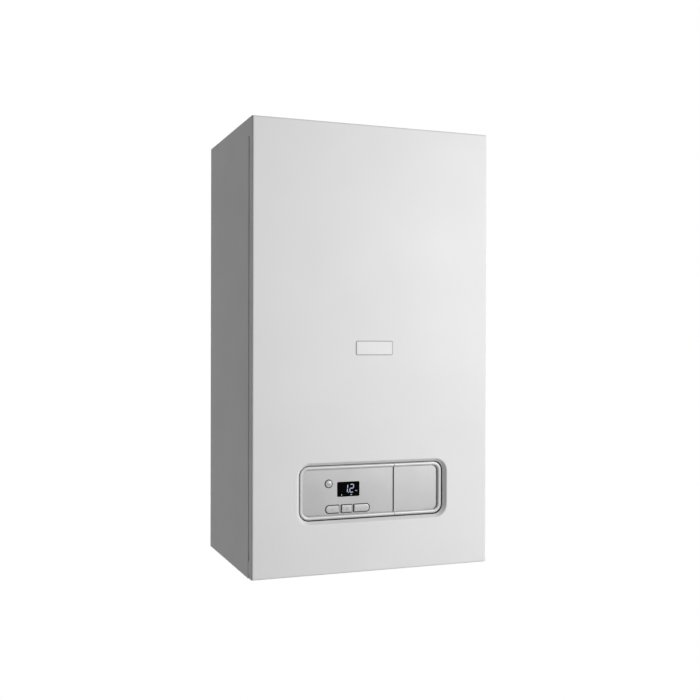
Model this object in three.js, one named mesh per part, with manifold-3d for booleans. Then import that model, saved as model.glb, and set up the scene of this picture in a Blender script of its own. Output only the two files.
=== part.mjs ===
// A wall-hung gas combi boiler: casing, lift-off front panel, swing-down control box and
// the working parts inside. Millimetres, Z up, X across the boiler, Y from front to wall.
// The pieces are laid out from the wall (y = 0) and the lower rim (z = 0). At the end the
// whole group moves so that its origin is the middle of the footprint.
import * as THREE from 'three';
import { mergeVertices } from 'three/addons/utils/BufferGeometryUtils.js';
import Module from 'manifold-3d';

const wasm = await Module();
wasm.setup();

// ---- Driving dimensions -------------------------------------------------------------

// Casing
const CASE_WIDTH = 418;
const CASE_HEIGHT = 740;
const CASE_DEPTH = 300;
const SHEET = 1.2; // steel sheet of the casing
const FIT = 0.3; // gap kept between neighbours that must not touch
const PANEL_RETURN = 18; // depth of the front panel's side returns
const PANEL_CHAMFER = 3; // eased outer edge of the front panel
const PANEL_LIFT = 1; // front panel's lower edge above the casing's rim
const PANEL_LIP = 4; // height of the skirt below the front panel's bottom return
const SEAM_GAP = 3; // groove between the returns and the side panels
const SEAM_DROP = 35; // the groove starts this far below the top
const JOGGLE = 3; // inward step that the returns slide over
const FLANGE = 16; // width of the folded front flanges
const REAR_FLANGE = 19; // width of the folds that lie on the wall
const SEAL_WIDTH = 10;
const SEAL_GAP = 4; // from the front flanges to the front panel's skin
const WALL_STAND = 10; // from the wall to the back frame
const FRAME_SHEET = 1.5;
const FRAME_FLANGE = 20;
const PIPE_BAY = 62; // free height below the bottom plate
const NOTCH_TOP = 43; // pointed notch in the edge of the panel's returns
const NOTCH_TIP = 34;
const NOTCH_FOOT = 28;
const NOTCH_DEPTH = 1.5;
const SEAM_STEP = 1.5; // below the notch the returns reach this far further back

// Front panel recess, fascia and controls
const RECESS_WIDTH = 267;
const RECESS_HEIGHT = 100.5;
const RECESS_CORNER = 22;
const RECESS_DEPTH = 7;
const RECESS_SLOPE = 4.8; // how far the recess wall leans in
const CONTROL_MIDDLE = 133.5; // height of the fascia's middle
const WINDOW_GAP = 1.2; // from the recess to the rim of the fascia
const RIM_WIDTH = 6.5;
const RIM_STAND = 5; // rim above the fascia's face
const RIM_SETBACK = 8; // rim behind the front face
const FASCIA_PLATE = 2.5;
const FASCIA_SPLIT = 39.5; // seam between fascia and blanking cover
const SPLIT_GAP = 0.8;
const BUTTON_RADIUS = 6.9;
const BUTTON_X = -75.4;
const BUTTON_RISE = 13.8; // button's middle above the fascia's middle
const KEY_HEIGHT = 12.5;
const KEY_DROP = 28.5; // keys' middle below the fascia's middle
const KEY_ROUND = 5.6; // round outer ends of the outer keys
const KEY_GAP = 0.8;
const KEY_STAND = 1;
const KEY_TRAVEL = 0.8;
const LEFT_KEY = [-80.6, -57.2];
const MIDDLE_KEY = [-52.8, -34.3];
const RIGHT_KEY = [-31, -3.6];
const DISPLAY_X = [-60.4, -21.5];
const DISPLAY_RISE = [-8.3, 15.8]; // its lower and upper edge from the fascia's middle
const PLAQUE_WIDTH = 66;
const PLAQUE_HEIGHT = 24;
const PLAQUE_STAND = 0.8;
const PLAQUE_CORNER = 3;

// Control box
const BOX_WIDTH = 370;
const BOX_DEPTH = 58;
const BOX_HEIGHT = 118;
const BOX_WALL = 2;
const BOX_COVER = 1.5;
const PIN_RADIUS = 4;
const PIN_RISE = 8; // hinge pins above the box's floor
const PIN_SETBACK = 10; // hinge pins behind the box's front wall
const EAR = 2; // thickness of the hinge ears

// Flue
const FLUE_RADIUS = 50;
const FLUE_TO_WALL = 125;
const FLUE_STAND = 22; // collar above the top plate
const DUCT_RADIUS = 30;
const DUCT_WALL = 2;

// Combustion
const HEAT_RADIUS = 105;
const HEAT_LENGTH = 145;
const HEAT_X = -45;
const HEAT_DROP = 220; // exchanger's axis below the top
const DOOR_RADIUS = 84;
const DOOR_THICK = 9;
const DOOR_GASKET = 3;
const BURNER_RADIUS = 33;
const BURNER_LENGTH = 95;
const CHAMBER_WALL = 40; // coil and cast wall round the combustion chamber
const SPARK_RADIUS = 5;
const DRUM_GAP = 4; // the electrode's body stands this clear of the burner's inlet drum
const MIX_RADIUS = 18;
const FAN_RADIUS = 60;
const FAN_THICK = 45;
const FAN_DROP = 140;
const FAN_WALL = 3;
const IMPELLER_RADIUS = 45;
const SHAFT_RADIUS = 4;
const GAS_PIPE_RADIUS = 8;

// Water
const TAIL_TO_WALL = 100;
const TAIL_END = 10; // lower ends of the tails above the rim
const TAIL_RADIUS = 11;
const PIPE_RADIUS = 9;
const PIPE_WALL = 1;
const BLOCK_DEPTH = 110;
const BLOCK_HEIGHT = 87;
const BLOCK_WIDTH = 66;
const PUMP_BLOCK_WIDTH = 86;
const FLOW_TAIL_IN = 21.3; // from the flow block's outer side
const RETURN_TAIL_IN = 44.7; // from the return block's inner side
const PORT_INSET = 20; // from the plate heat exchanger's ends to its ports
const PLATE_WIDTH = 180;
const PLATE_DEPTH = 50;
const PLATE_HEIGHT = 75;
const PUMP_RADIUS = 38;
const PUMP_LENGTH = 72;
const VESSEL_RADIUS = 165;
const VESSEL_THICK = 55;
const VESSEL_DROP = 270;

// ---- Places worked out from them ----------------------------------------------------

const side = CASE_WIDTH / 2;
const sideInner = side - SHEET;
const front = -CASE_DEPTH;
const returnEdge = front + PANEL_RETURN;
const seamEdge = returnEdge + SEAM_GAP;
const flangeFace = front + SHEET + SEAL_GAP;
const joggleOuter = sideInner - JOGGLE + SHEET;
const joggleInner = joggleOuter - SHEET;
const backFace = -WALL_STAND - FRAME_SHEET; // face of the back frame inside the casing
const floorTop = PIPE_BAY + SHEET;
const fasciaFace = front + RIM_SETBACK + RIM_STAND;
const boxFront = fasciaFace + FASCIA_PLATE + FIT;
const boxBack = boxFront + BOX_DEPTH;
const boxFloor = CONTROL_MIDDLE - 56;
const boxTop = boxFloor + BOX_HEIGHT;
const boxSide = BOX_WIDTH / 2;
const pinY = boxFront + PIN_SETBACK;
const pinZ = boxFloor + PIN_RISE;
const rimHalfWidth = RECESS_WIDTH / 2 - RECESS_SLOPE - WINDOW_GAP;
const rimHalfHeight = RECESS_HEIGHT / 2 - RECESS_SLOPE - WINDOW_GAP;
const rimCorner = RECESS_CORNER - RECESS_SLOPE - WINDOW_GAP;
const heatZ = CASE_HEIGHT - HEAT_DROP;
const heatBack = backFace - VESSEL_THICK - 15;
const heatFront = heatBack - HEAT_LENGTH;
const doorBack = heatFront - DOOR_GASKET;
const doorFront = doorBack - DOOR_THICK;
const fanX = sideInner - FAN_RADIUS - 13;
const fanZ = CASE_HEIGHT - FAN_DROP;
const fanFront = heatFront + 35;
const fanBack = fanFront + FAN_THICK;
const tailY = -TAIL_TO_WALL;
const blockFront = backFace - 18 - BLOCK_DEPTH;
const blockBack = blockFront + BLOCK_DEPTH;
const blockTop = floorTop + BLOCK_HEIGHT;
const plateSide = PLATE_WIDTH / 2;
const plateBack = backFace - 12;
const plateFront = plateBack - PLATE_DEPTH;
const plateFloor = floorTop + 32;
const plateTop = plateFloor + PLATE_HEIGHT;
const flowBlock = [-plateSide - FIT - BLOCK_WIDTH, -plateSide - FIT];
const returnBlock = [plateSide + FIT, plateSide + FIT + PUMP_BLOCK_WIDTH];
const vesselZ = CASE_HEIGHT - VESSEL_DROP;

// ---- Finishes -----------------------------------------------------------------------

function finish(color, roughness, metalness) {
  return new THREE.MeshStandardMaterial({ color, roughness, metalness });
}
const whitePaint = finish(0xe9ebec, 0.4, 0);
const zincSheet = finish(0xa9adb0, 0.45, 0.9);
const steel = finish(0xb4b7ba, 0.35, 1);
const castAluminium = finish(0x9fa3a6, 0.55, 0.9);
const copper = finish(0xb87350, 0.35, 1);
const brass = finish(0xc2a25a, 0.4, 1);
const blackPlastic = finish(0x222426, 0.6, 0);
const greyPlastic = finish(0xb9bdc0, 0.5, 0);
const silverPlastic = finish(0xdfe2e4, 0.35, 0);
const darkGlass = finish(0x0c0e10, 0.1, 0);
const rubber = finish(0x2b2b2b, 0.85, 0);
const redPaint = finish(0xa8261f, 0.5, 0);
const greenBoard = finish(0x1f6b45, 0.5, 0);
const ceramic = finish(0xe6e0d2, 0.5, 0);
const redPlastic = finish(0xb52a22, 0.45, 0);
const bluePlastic = finish(0x2b62a8, 0.45, 0);

// ---- Solids -------------------------------------------------------------------------

function solid(geometry) {
  const bare = geometry.clone();
  bare.deleteAttribute('normal');
  bare.deleteAttribute('uv');
  const merged = mergeVertices(bare, 1e-3);
  return new wasm.Manifold(new wasm.Mesh({
    numProp: 3,
    vertProperties: new Float32Array(merged.attributes.position.array),
    triVerts: new Uint32Array(merged.index.array),
  }));
}

function join(first, ...others) {
  return others.reduce((whole, piece) => whole.add(piece), first);
}

function cut(first, ...tools) {
  return tools.reduce((whole, tool) => whole.subtract(tool), first);
}

function block(x0, x1, y0, y1, z0, z1) {
  const shape = new THREE.BoxGeometry(x1 - x0, y1 - y0, z1 - z0);
  return solid(shape.translate((x0 + x1) / 2, (y0 + y1) / 2, (z0 + z1) / 2));
}

// A round bar along an axis, from low to high; a and b are its other two coordinates.
function rod(axis, radius, low, high, a, b, sides = 24, farRadius = radius) {
  const shape = new THREE.CylinderGeometry(farRadius, radius, high - low, sides);
  const middle = (low + high) / 2;
  if (axis === 'x') return solid(shape.rotateZ(-Math.PI / 2).translate(middle, a, b));
  if (axis === 'y') return solid(shape.translate(a, middle, b));
  return solid(shape.rotateX(Math.PI / 2).translate(a, b, middle));
}

// The corner points of a rounded rectangle seen from the front, x across and z up.
function outline(x0, x1, z0, z1, corner, arcSteps = 6) {
  const centres = [[x1, z0, -90], [x1, z1, 0], [x0, z1, 90], [x0, z0, 180]];
  const points = [];
  for (const [x, z, start] of centres) {
    const cx = x - Math.sign(x - (x0 + x1) / 2) * corner;
    const cz = z - Math.sign(z - (z0 + z1) / 2) * corner;
    for (let step = 0; step <= arcSteps; step += 1) {
      const angle = THREE.MathUtils.degToRad(start + (90 * step) / arcSteps);
      points.push([cx + corner * Math.cos(angle), cz + corner * Math.sin(angle)]);
    }
  }
  return points;
}

// A closed body through outlines of equal length, given from the front to the back.
function loft(...sections) {
  const count = sections[0].points.length;
  const position = [];
  const index = [];
  for (const { points, y } of sections) {
    for (const [x, z] of points) position.push(x, y, z);
  }
  for (let level = 0; level < sections.length - 1; level += 1) {
    for (let i = 0; i < count; i += 1) {
      const a = level * count + i;
      const b = level * count + ((i + 1) % count);
      index.push(a, b + count, b, a, a + count, b + count);
    }
  }
  const last = (sections.length - 1) * count;
  for (let i = 1; i < count - 1; i += 1) {
    index.push(0, i, i + 1);
    index.push(last, last + i + 1, last + i);
  }
  const shape = new THREE.BufferGeometry();
  shape.setAttribute('position', new THREE.Float32BufferAttribute(position, 3));
  shape.setIndex(index);
  return solid(shape);
}

// A plate between two y values with the given outline.
function plate(points, y0, y1) {
  return loft({ points, y: y0 }, { points, y: y1 });
}

// A route of straight runs and round bends. Its stations lie only at the ends and round
// the bends, so a straight run is one piece.
class BentRoute extends THREE.Curve {
  constructor(corners, bendRadius, bendSteps) {
    super();
    const path = corners.map((corner) => new THREE.Vector3(...corner));
    this.points = [path[0]];
    this.tangents = [path[1].clone().sub(path[0]).normalize()];
    for (let i = 1; i < path.length - 1; i += 1) {
      const before = path[i].clone().sub(path[i - 1]).normalize();
      const after = path[i + 1].clone().sub(path[i]).normalize();
      const angle = before.angleTo(after);
      const axis = before.clone().cross(after).normalize();
      const setback = bendRadius * Math.tan(angle / 2);
      const start = path[i].clone().addScaledVector(before, -setback);
      const inward = axis.clone().cross(before).normalize();
      const centre = start.clone().addScaledVector(inward, bendRadius);
      for (let step = 0; step <= bendSteps; step += 1) {
        const turn = (angle * step) / bendSteps;
        const arm = start.clone().sub(centre).applyAxisAngle(axis, turn);
        this.points.push(centre.clone().add(arm));
        this.tangents.push(before.clone().applyAxisAngle(axis, turn));
      }
    }
    this.points.push(path.at(-1));
    this.tangents.push(path.at(-1).clone().sub(path.at(-2)).normalize());
  }

  getPointAt(u) {
    return this.points[Math.round(u * (this.points.length - 1))].clone();
  }

  getTangentAt(u) {
    return this.tangents[Math.round(u * (this.points.length - 1))].clone();
  }
}

// A pipe along a route; with no wall given it is a solid bar.
function pipe(corners, radius, { wall = 0, bend = radius * 2.2, sides = 8 } = {}) {
  const route = new BentRoute(corners, bend, 3);
  const ring = (size) => {
    const points = [];
    for (let i = 0; i < sides; i += 1) {
      const angle = (2 * Math.PI * i) / sides;
      points.push(new THREE.Vector2(size * Math.cos(angle), size * Math.sin(angle)));
    }
    return points;
  };
  const section = new THREE.Shape(ring(radius));
  if (wall > 0) section.holes.push(new THREE.Path(ring(radius - wall)));
  return solid(new THREE.ExtrudeGeometry(section, {
    steps: route.points.length - 1,
    extrudePath: route,
  }));
}

// A hexagon nut round a vertical pipe.
function nut(radius, z0, z1, x, y) {
  return rod('z', radius, z0, z1, x, y, 6);
}

const boiler = new THREE.Group();
boiler.name = 'combi_boiler';

function add(name, shape, material) {
  const { vertProperties, triVerts } = shape.getMesh();
  const geometry = new THREE.BufferGeometry();
  geometry.setAttribute('position', new THREE.Float32BufferAttribute(vertProperties, 3));
  geometry.setIndex(Array.from(triVerts));
  geometry.computeVertexNormals();
  const mesh = new THREE.Mesh(geometry, material);
  mesh.name = name;
  boiler.add(mesh);
}

// ---- Casing -------------------------------------------------------------------------

const lipTop = PANEL_LIFT + PANEL_LIP;
const flangeFloor = lipTop + SHEET + FIT; // the side flanges clear the panel's bottom return
const flangeTop = CASE_HEIGHT - 24; // and end below the top plate's flange

// One side panel: a flat sheet, a fold that lies on the wall, and a front edge that steps
// in so that the front panel's return slides over it. hand is -1 on the left, 1 on the right.
function sidePanel(hand) {
  const across = (x0, x1, ...rest) => block(...(hand > 0 ? [x0, x1] : [-x1, -x0]), ...rest);
  const stepBack = seamEdge + SHEET;
  const sheet = across(sideInner, side, seamEdge, 0, 0, CASE_HEIGHT);
  const wallFold = across(side - REAR_FLANGE, side, -SHEET, 0, 0, CASE_HEIGHT);
  const step = across(joggleInner, side, seamEdge, stepBack, 0, flangeTop);
  const wall = across(joggleInner, joggleOuter, flangeFace, stepBack, flangeFloor, flangeTop);
  const fold = across(joggleOuter - FLANGE, joggleOuter, flangeFace, flangeFace + SHEET,
    flangeFloor, flangeTop);
  const closedTop = across(
    sideInner, side, returnEdge + FIT, seamEdge, CASE_HEIGHT - SEAM_DROP, CASE_HEIGHT);
  return join(sheet, wallFold, step, wall, fold, closedTop);
}
add('side_panel_left', sidePanel(-1), whitePaint);
add('side_panel_right', sidePanel(1), whitePaint);

// Back frame: the chassis plate that hangs on the bracket by two slots.
const slotMiddle = side - 89;
const slotTop = CASE_HEIGHT - 36.7;
const SLOT_WIDTH = 40;
const SLOT_HEIGHT = 9.3;
const frameSide = sideInner - FIT;
const hookSlot = (x) => block(
  x - SLOT_WIDTH / 2, x + SLOT_WIDTH / 2, -WALL_STAND - 10, 0, slotTop - SLOT_HEIGHT, slotTop);
const frameFold = (x0, x1) => block(
  x0, x1, backFace - FRAME_FLANGE, backFace, floorTop, CASE_HEIGHT - SHEET - FIT);
add('back_frame', cut(
  join(
    block(-frameSide, frameSide, backFace, -WALL_STAND, floorTop, CASE_HEIGHT - SHEET - FIT),
    frameFold(-frameSide, -frameSide + FRAME_SHEET),
    frameFold(frameSide - FRAME_SHEET, frameSide),
  ),
  hookSlot(-slotMiddle),
  hookSlot(slotMiddle),
), zincSheet);

// Hanging bracket: a strip on the wall with two hooks and two slots for the wall screws.
const BRACKET_PLATE = 2;
const BRACKET_HEIGHT = 36;
const HOOK_WIDTH = 30;
const SCREW_SLOT = [34, 9];
const bracketTop = slotTop + 13;
const bracketFloor = bracketTop - BRACKET_HEIGHT;
const hookTip = backFace - FIT - BRACKET_PLATE;
function hook(x) {
  const tabTop = slotTop - FIT;
  const shelf = block(x - HOOK_WIDTH / 2, x + HOOK_WIDTH / 2, hookTip, -BRACKET_PLATE / 2,
    tabTop - BRACKET_PLATE, tabTop);
  const tip = block(x - HOOK_WIDTH / 2, x + HOOK_WIDTH / 2, hookTip, hookTip + BRACKET_PLATE,
    tabTop - BRACKET_PLATE, tabTop + 12);
  return join(shelf, tip);
}
const screwSlot = (x) => block(x - SCREW_SLOT[0] / 2, x + SCREW_SLOT[0] / 2, -10, 5,
  bracketFloor + 8, bracketFloor + 8 + SCREW_SLOT[1]);
add('hanging_bracket', cut(
  join(
    block(-slotMiddle - 40, slotMiddle + 40, -BRACKET_PLATE, 0, bracketFloor, bracketTop),
    hook(-slotMiddle),
    hook(slotMiddle),
  ),
  screwSlot(-slotMiddle / 2),
  screwSlot(slotMiddle / 2),
), zincSheet);

// Top plate: it steps down at the front, under the front panel's top return.
const lidSide = joggleInner - FIT;
const stepTop = CASE_HEIGHT - SHEET - JOGGLE + SHEET;
const flueHole = rod('z', FLUE_RADIUS - 4, CASE_HEIGHT - 10, CASE_HEIGHT + 10,
  0, -FLUE_TO_WALL, 32);
add('top_plate', cut(
  join(
    block(-frameSide, frameSide, seamEdge, -SHEET - FIT, CASE_HEIGHT - SHEET, CASE_HEIGHT),
    block(-lidSide, lidSide, seamEdge, seamEdge + SHEET, stepTop - SHEET, CASE_HEIGHT),
    block(-lidSide, lidSide, flangeFace, seamEdge + SHEET, stepTop - SHEET, stepTop),
    block(-lidSide, lidSide, flangeFace, flangeFace + SHEET, flangeTop + FIT * 2, stepTop),
  ),
  flueHole,
), whitePaint);

// Lower rail: it ties the side panels, carries the bottom plate's front edge, takes the
// panel screws in open slots and stands the two ears that the control box swings on.
const railWeb = returnEdge + 6;
const railFloor = lipTop + SHEET + 1.8;
const railSide = joggleInner - FIT;
const SCREW_X = 150;
const screwY = returnEdge - 5;
const SCREW_SHANK = 2;
const earInner = boxSide + 2.5;
const earHole = (x) => rod('x', PIN_RADIUS + FIT, x - 10, x + 10, pinY, pinZ, 16);
const ear = (x0, x1) => block(x0, x1, pinY - 10, pinY + 12, PIPE_BAY - SHEET, pinZ + 9);
const screwCut = (x) => block(
  x - SCREW_SHANK - FIT, x + SCREW_SHANK + FIT, front, screwY + SCREW_SHANK + FIT,
  railFloor - 1, railFloor + SHEET + 1);
add('lower_rail', cut(
  join(
    block(-railSide, railSide, railWeb, railWeb + SHEET, railFloor, PIPE_BAY),
    block(-railSide, railSide, flangeFace + SHEET + 2, railWeb + SHEET,
      railFloor, railFloor + SHEET),
    block(-railSide, railSide, railWeb, railWeb + 26, PIPE_BAY - SHEET, PIPE_BAY),
    ear(-earInner - EAR, -earInner),
    ear(earInner, earInner + EAR),
  ),
  earHole(-earInner),
  earHole(earInner),
  screwCut(-SCREW_X),
  screwCut(SCREW_X),
), zincSheet);

// Bottom plate, with a hole for each tail that leaves the boiler.
const flowTail = { x: flowBlock[0] + FLOW_TAIL_IN, y: tailY };
const hotTail = { x: -plateSide + PORT_INSET, y: tailY };
const gasTail = { x: 0, y: tailY };
const coldTail = { x: plateSide - PORT_INSET, y: tailY };
const returnTail = { x: returnBlock[0] + RETURN_TAIL_IN, y: tailY };
const reliefTail = { x: plateSide + 14, y: blockFront - 15 };
const trapTail = { x: -side + 31, y: backFace - 48 };
const glandAt = { x: -40, y: tailY - 80 };
const tailHole = ({ x, y }, radius) => rod('z', radius, PIPE_BAY - 10, floorTop + 20, x, y, 12);
const plateFrontEdge = railWeb + 16;
add('bottom_plate', cut(
  join(
    block(-frameSide, frameSide, plateFrontEdge, backFace - FIT, PIPE_BAY, floorTop),
    block(-frameSide, -frameSide + SHEET, plateFrontEdge, backFace - FRAME_FLANGE - FIT,
      PIPE_BAY, floorTop + 8),
    block(frameSide - SHEET, frameSide, plateFrontEdge, backFace - FRAME_FLANGE - FIT,
      PIPE_BAY, floorTop + 8),
  ),
  tailHole(flowTail, TAIL_RADIUS + 1),
  tailHole(hotTail, TAIL_RADIUS + 1),
  tailHole(gasTail, TAIL_RADIUS + 1),
  tailHole(coldTail, TAIL_RADIUS + 1),
  tailHole(returnTail, TAIL_RADIUS + 1),
  tailHole(reliefTail, 7.5),
  tailHole(trapTail, 10.5),
  tailHole(glandAt, 8 + FIT),
), zincSheet);

add('cable_gland', cut(
  join(
    rod('z', 8, PIPE_BAY - 6, floorTop + 2, glandAt.x, glandAt.y, 16),
    nut(12, PIPE_BAY - 7, PIPE_BAY, glandAt.x, glandAt.y),
    rod('z', 10, PIPE_BAY - 20, PIPE_BAY - 7, glandAt.x, glandAt.y, 16, 10),
    nut(12, floorTop, floorTop + 5, glandAt.x, glandAt.y),
  ),
  rod('z', 4.5, PIPE_BAY - 30, floorTop + 20, glandAt.x, glandAt.y, 12),
), blackPlastic);

// ---- Front panel --------------------------------------------------------------------

// The panel is a tray: a skin with an eased edge, and returns on all four sides.
function trayBody(inset, skinAt) {
  const chamfer = PANEL_CHAMFER;
  const wide = outline(-side + inset, side - inset, PANEL_LIFT, CASE_HEIGHT - inset, 0.8, 1);
  const narrow = outline(-side + chamfer + inset / 2, side - chamfer - inset / 2,
    PANEL_LIFT, CASE_HEIGHT - chamfer - inset / 2, 0.8, 1);
  return loft(
    { points: narrow, y: skinAt },
    { points: wide, y: skinAt + chamfer },
    { points: wide, y: inset > 0 ? returnEdge + 5 : returnEdge },
  );
}
const panelFloor = block(-sideInner - 0.5, sideInner + 0.5, front + 0.5, returnEdge,
  lipTop, lipTop + SHEET);
const recessOuter = (grow) => outline(
  -RECESS_WIDTH / 2 - grow, RECESS_WIDTH / 2 + grow,
  CONTROL_MIDDLE - RECESS_HEIGHT / 2 - grow, CONTROL_MIDDLE + RECESS_HEIGHT / 2 + grow,
  RECESS_CORNER + grow);
const recessInner = (grow) => outline(
  -RECESS_WIDTH / 2 + RECESS_SLOPE - grow, RECESS_WIDTH / 2 - RECESS_SLOPE + grow,
  CONTROL_MIDDLE - RECESS_HEIGHT / 2 + RECESS_SLOPE - grow,
  CONTROL_MIDDLE + RECESS_HEIGHT / 2 - RECESS_SLOPE + grow,
  RECESS_CORNER - RECESS_SLOPE + grow);
const recessBack = front + RECESS_DEPTH + SHEET;
const recessWall = loft(
  { points: recessOuter(SHEET), y: front + 0.2 },
  { points: recessInner(SHEET), y: recessBack });
const recessVoid = loft(
  { points: recessOuter(RECESS_SLOPE / RECESS_DEPTH), y: front - 1 },
  { points: recessInner(0), y: front + RECESS_DEPTH },
  { points: recessInner(0), y: recessBack + 2 });
const skin = cut(trayBody(0, front), trayBody(SHEET, front + SHEET));

// The lower end of a side return reaches further back, above it a pointed notch cuts in.
const footBack = returnEdge + SEAM_STEP;
const returnFoot = (x0, x1) => block(x0, x1, returnEdge - 1, footBack, PANEL_LIFT, NOTCH_TIP);
const notchShape = new THREE.Shape([
  new THREE.Vector2(returnEdge, NOTCH_TOP),
  new THREE.Vector2(returnEdge - NOTCH_DEPTH, NOTCH_TIP),
  new THREE.Vector2(footBack, NOTCH_FOOT),
  new THREE.Vector2(footBack + 1, NOTCH_FOOT),
  new THREE.Vector2(footBack + 1, NOTCH_TOP),
]);
const notchTool = new THREE.ExtrudeGeometry(
  notchShape, { depth: CASE_WIDTH + 10, bevelEnabled: false });
// The outline is drawn in (y, z) and pushed out along x.
notchTool.applyMatrix4(new THREE.Matrix4().makeBasis(
  new THREE.Vector3(0, 1, 0), new THREE.Vector3(0, 0, 1), new THREE.Vector3(1, 0, 0)));
notchTool.translate(-CASE_WIDTH / 2 - 5, 0, 0);
const screwHole = (x) => rod('z', SCREW_SHANK + FIT, -5, lipTop + 5, x, screwY, 12);
add('front_panel', cut(
  join(skin, returnFoot(-side, -sideInner), returnFoot(sideInner, side), panelFloor, recessWall),
  solid(notchTool),
  recessVoid,
  screwHole(-SCREW_X),
  screwHole(SCREW_X),
), whitePaint);

function screw(x) {
  return join(
    rod('z', 5, lipTop - 3, lipTop, x, screwY, 12),
    rod('z', SCREW_SHANK, lipTop - 1, railFloor + 8, x, screwY, 12));
}
add('front_screw_left', screw(-SCREW_X), steel);
add('front_screw_right', screw(SCREW_X), steel);

// Soft seal between the front panel's skin and the folded flanges behind it.
const sealOuter = joggleOuter - 2;
const sealFloor = lipTop + SHEET + 3;
const sealTop = stepTop - 2;
add('front_seal', cut(
  block(-sealOuter, sealOuter, front + SHEET, flangeFace - FIT, sealFloor, sealTop),
  block(-sealOuter + SEAL_WIDTH, sealOuter - SEAL_WIDTH, front, 0,
    sealFloor + SEAL_WIDTH, sealTop - SEAL_WIDTH),
), rubber);

const plaqueMiddle = CASE_HEIGHT / 2 + 1;
add('plaque', plate(
  outline(-PLAQUE_WIDTH / 2, PLAQUE_WIDTH / 2, plaqueMiddle - PLAQUE_HEIGHT / 2,
    plaqueMiddle + PLAQUE_HEIGHT / 2, PLAQUE_CORNER, 3),
  front - PLAQUE_STAND, front), silverPlastic);

// ---- Control box --------------------------------------------------------------------

const fasciaBack = boxFront - FIT;
const rimFace = (inset) => outline(-rimHalfWidth + inset, rimHalfWidth - inset,
  CONTROL_MIDDLE - rimHalfHeight + inset, CONTROL_MIDDLE + rimHalfHeight - inset,
  rimCorner - inset, 5);

// The whole fascia with its raised rim, before it is parted in two.
function wholeFascia() {
  const crest = RIM_WIDTH * 0.3;
  const raised = loft(
    { points: rimFace(crest), y: front + RIM_SETBACK },
    { points: rimFace(0), y: fasciaFace - RIM_STAND / 2 },
    { points: rimFace(0), y: fasciaBack });
  const dish = loft(
    { points: rimFace(RIM_WIDTH - crest), y: front + RIM_SETBACK - 1 },
    { points: rimFace(RIM_WIDTH), y: fasciaFace - RIM_STAND / 2 },
    { points: rimFace(RIM_WIDTH), y: fasciaFace });
  return cut(raised, dish);
}
const behindFascia = [front, 0];
const keyMiddle = CONTROL_MIDDLE - KEY_DROP;
const keyFloor = keyMiddle - KEY_HEIGHT / 2;
const keyTop = keyMiddle + KEY_HEIGHT / 2;
const buttonZ = CONTROL_MIDDLE + BUTTON_RISE;
const STEM_RADIUS = 2.5;
const stemHole = (x, z) => rod('y', STEM_RADIUS + FIT, front, boxFront + BOX_WALL + 5, x, z, 12);

// The outline of a key: one end may be round. grow makes the hole that it sits in.
function keyOutline([x0, x1], roundEnd, grow) {
  const round = KEY_ROUND + grow;
  const left = roundEnd < 0 ? round : 1;
  const right = roundEnd > 0 ? round : 1;
  const arcs = [[x1 + grow - right, keyFloor - grow + right, right, -90],
    [x1 + grow - right, keyTop + grow - right, right, 0],
    [x0 - grow + left, keyTop + grow - left, left, 90],
    [x0 - grow + left, keyFloor - grow + left, left, 180]];
  const points = [];
  for (const [cx, cz, radius, start] of arcs) {
    for (let step = 0; step <= 4; step += 1) {
      const angle = THREE.MathUtils.degToRad(start + 22.5 * step);
      points.push([cx + radius * Math.cos(angle), cz + radius * Math.sin(angle)]);
    }
  }
  return points;
}
const keys = [['key_left', LEFT_KEY, -1], ['key_middle', MIDDLE_KEY, 0],
  ['key_right', RIGHT_KEY, 1]];
const keyHoles = keys.map(([, span, end]) => plate(
  keyOutline(span, end, KEY_GAP), front, fasciaBack + 1));
const displayFloor = CONTROL_MIDDLE + DISPLAY_RISE[0];
const displayTop = CONTROL_MIDDLE + DISPLAY_RISE[1];
const displayOutline = (grow) => outline(DISPLAY_X[0] - grow, DISPLAY_X[1] + grow,
  displayFloor - grow, displayTop + grow, 1.5 + grow, 3);

add('fascia', cut(
  wholeFascia(),
  block(FASCIA_SPLIT, side, ...behindFascia, 0, CASE_HEIGHT),
  ...keyHoles,
  plate(displayOutline(FIT), front, fasciaBack + 1),
  rod('y', BUTTON_RADIUS + KEY_GAP, front, fasciaBack + 1, BUTTON_X, buttonZ, 24),
), greyPlastic);

add('display', plate(displayOutline(0), fasciaFace + 0.4, boxFront), darkGlass);

// The blanking cover closes the place of a clip-in timer. Two clips hold it in the box.
const CLIP_SPREAD = 22;
const CLIP_HALF_WIDTH = 6;
const CLIP_HALF_THICK = 1.5;
const CLIP_HOOK = 3; // how far it passes the box's front wall
const CLIP_Z = [CONTROL_MIDDLE - CLIP_SPREAD, CONTROL_MIDDLE + CLIP_SPREAD];
const clipX = (FASCIA_SPLIT + rimHalfWidth) / 2;
const clip = (z, grow) => block(clipX - CLIP_HALF_WIDTH - grow, clipX + CLIP_HALF_WIDTH + grow,
  fasciaBack - 1, boxFront + BOX_WALL + CLIP_HOOK + grow,
  z - CLIP_HALF_THICK - grow, z + CLIP_HALF_THICK + grow);
add('blanking_cover', join(
  cut(wholeFascia(), block(-side, FASCIA_SPLIT + SPLIT_GAP, ...behindFascia, 0, CASE_HEIGHT)),
  clip(CLIP_Z[0], 0),
  clip(CLIP_Z[1], 0),
), greyPlastic);

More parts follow.
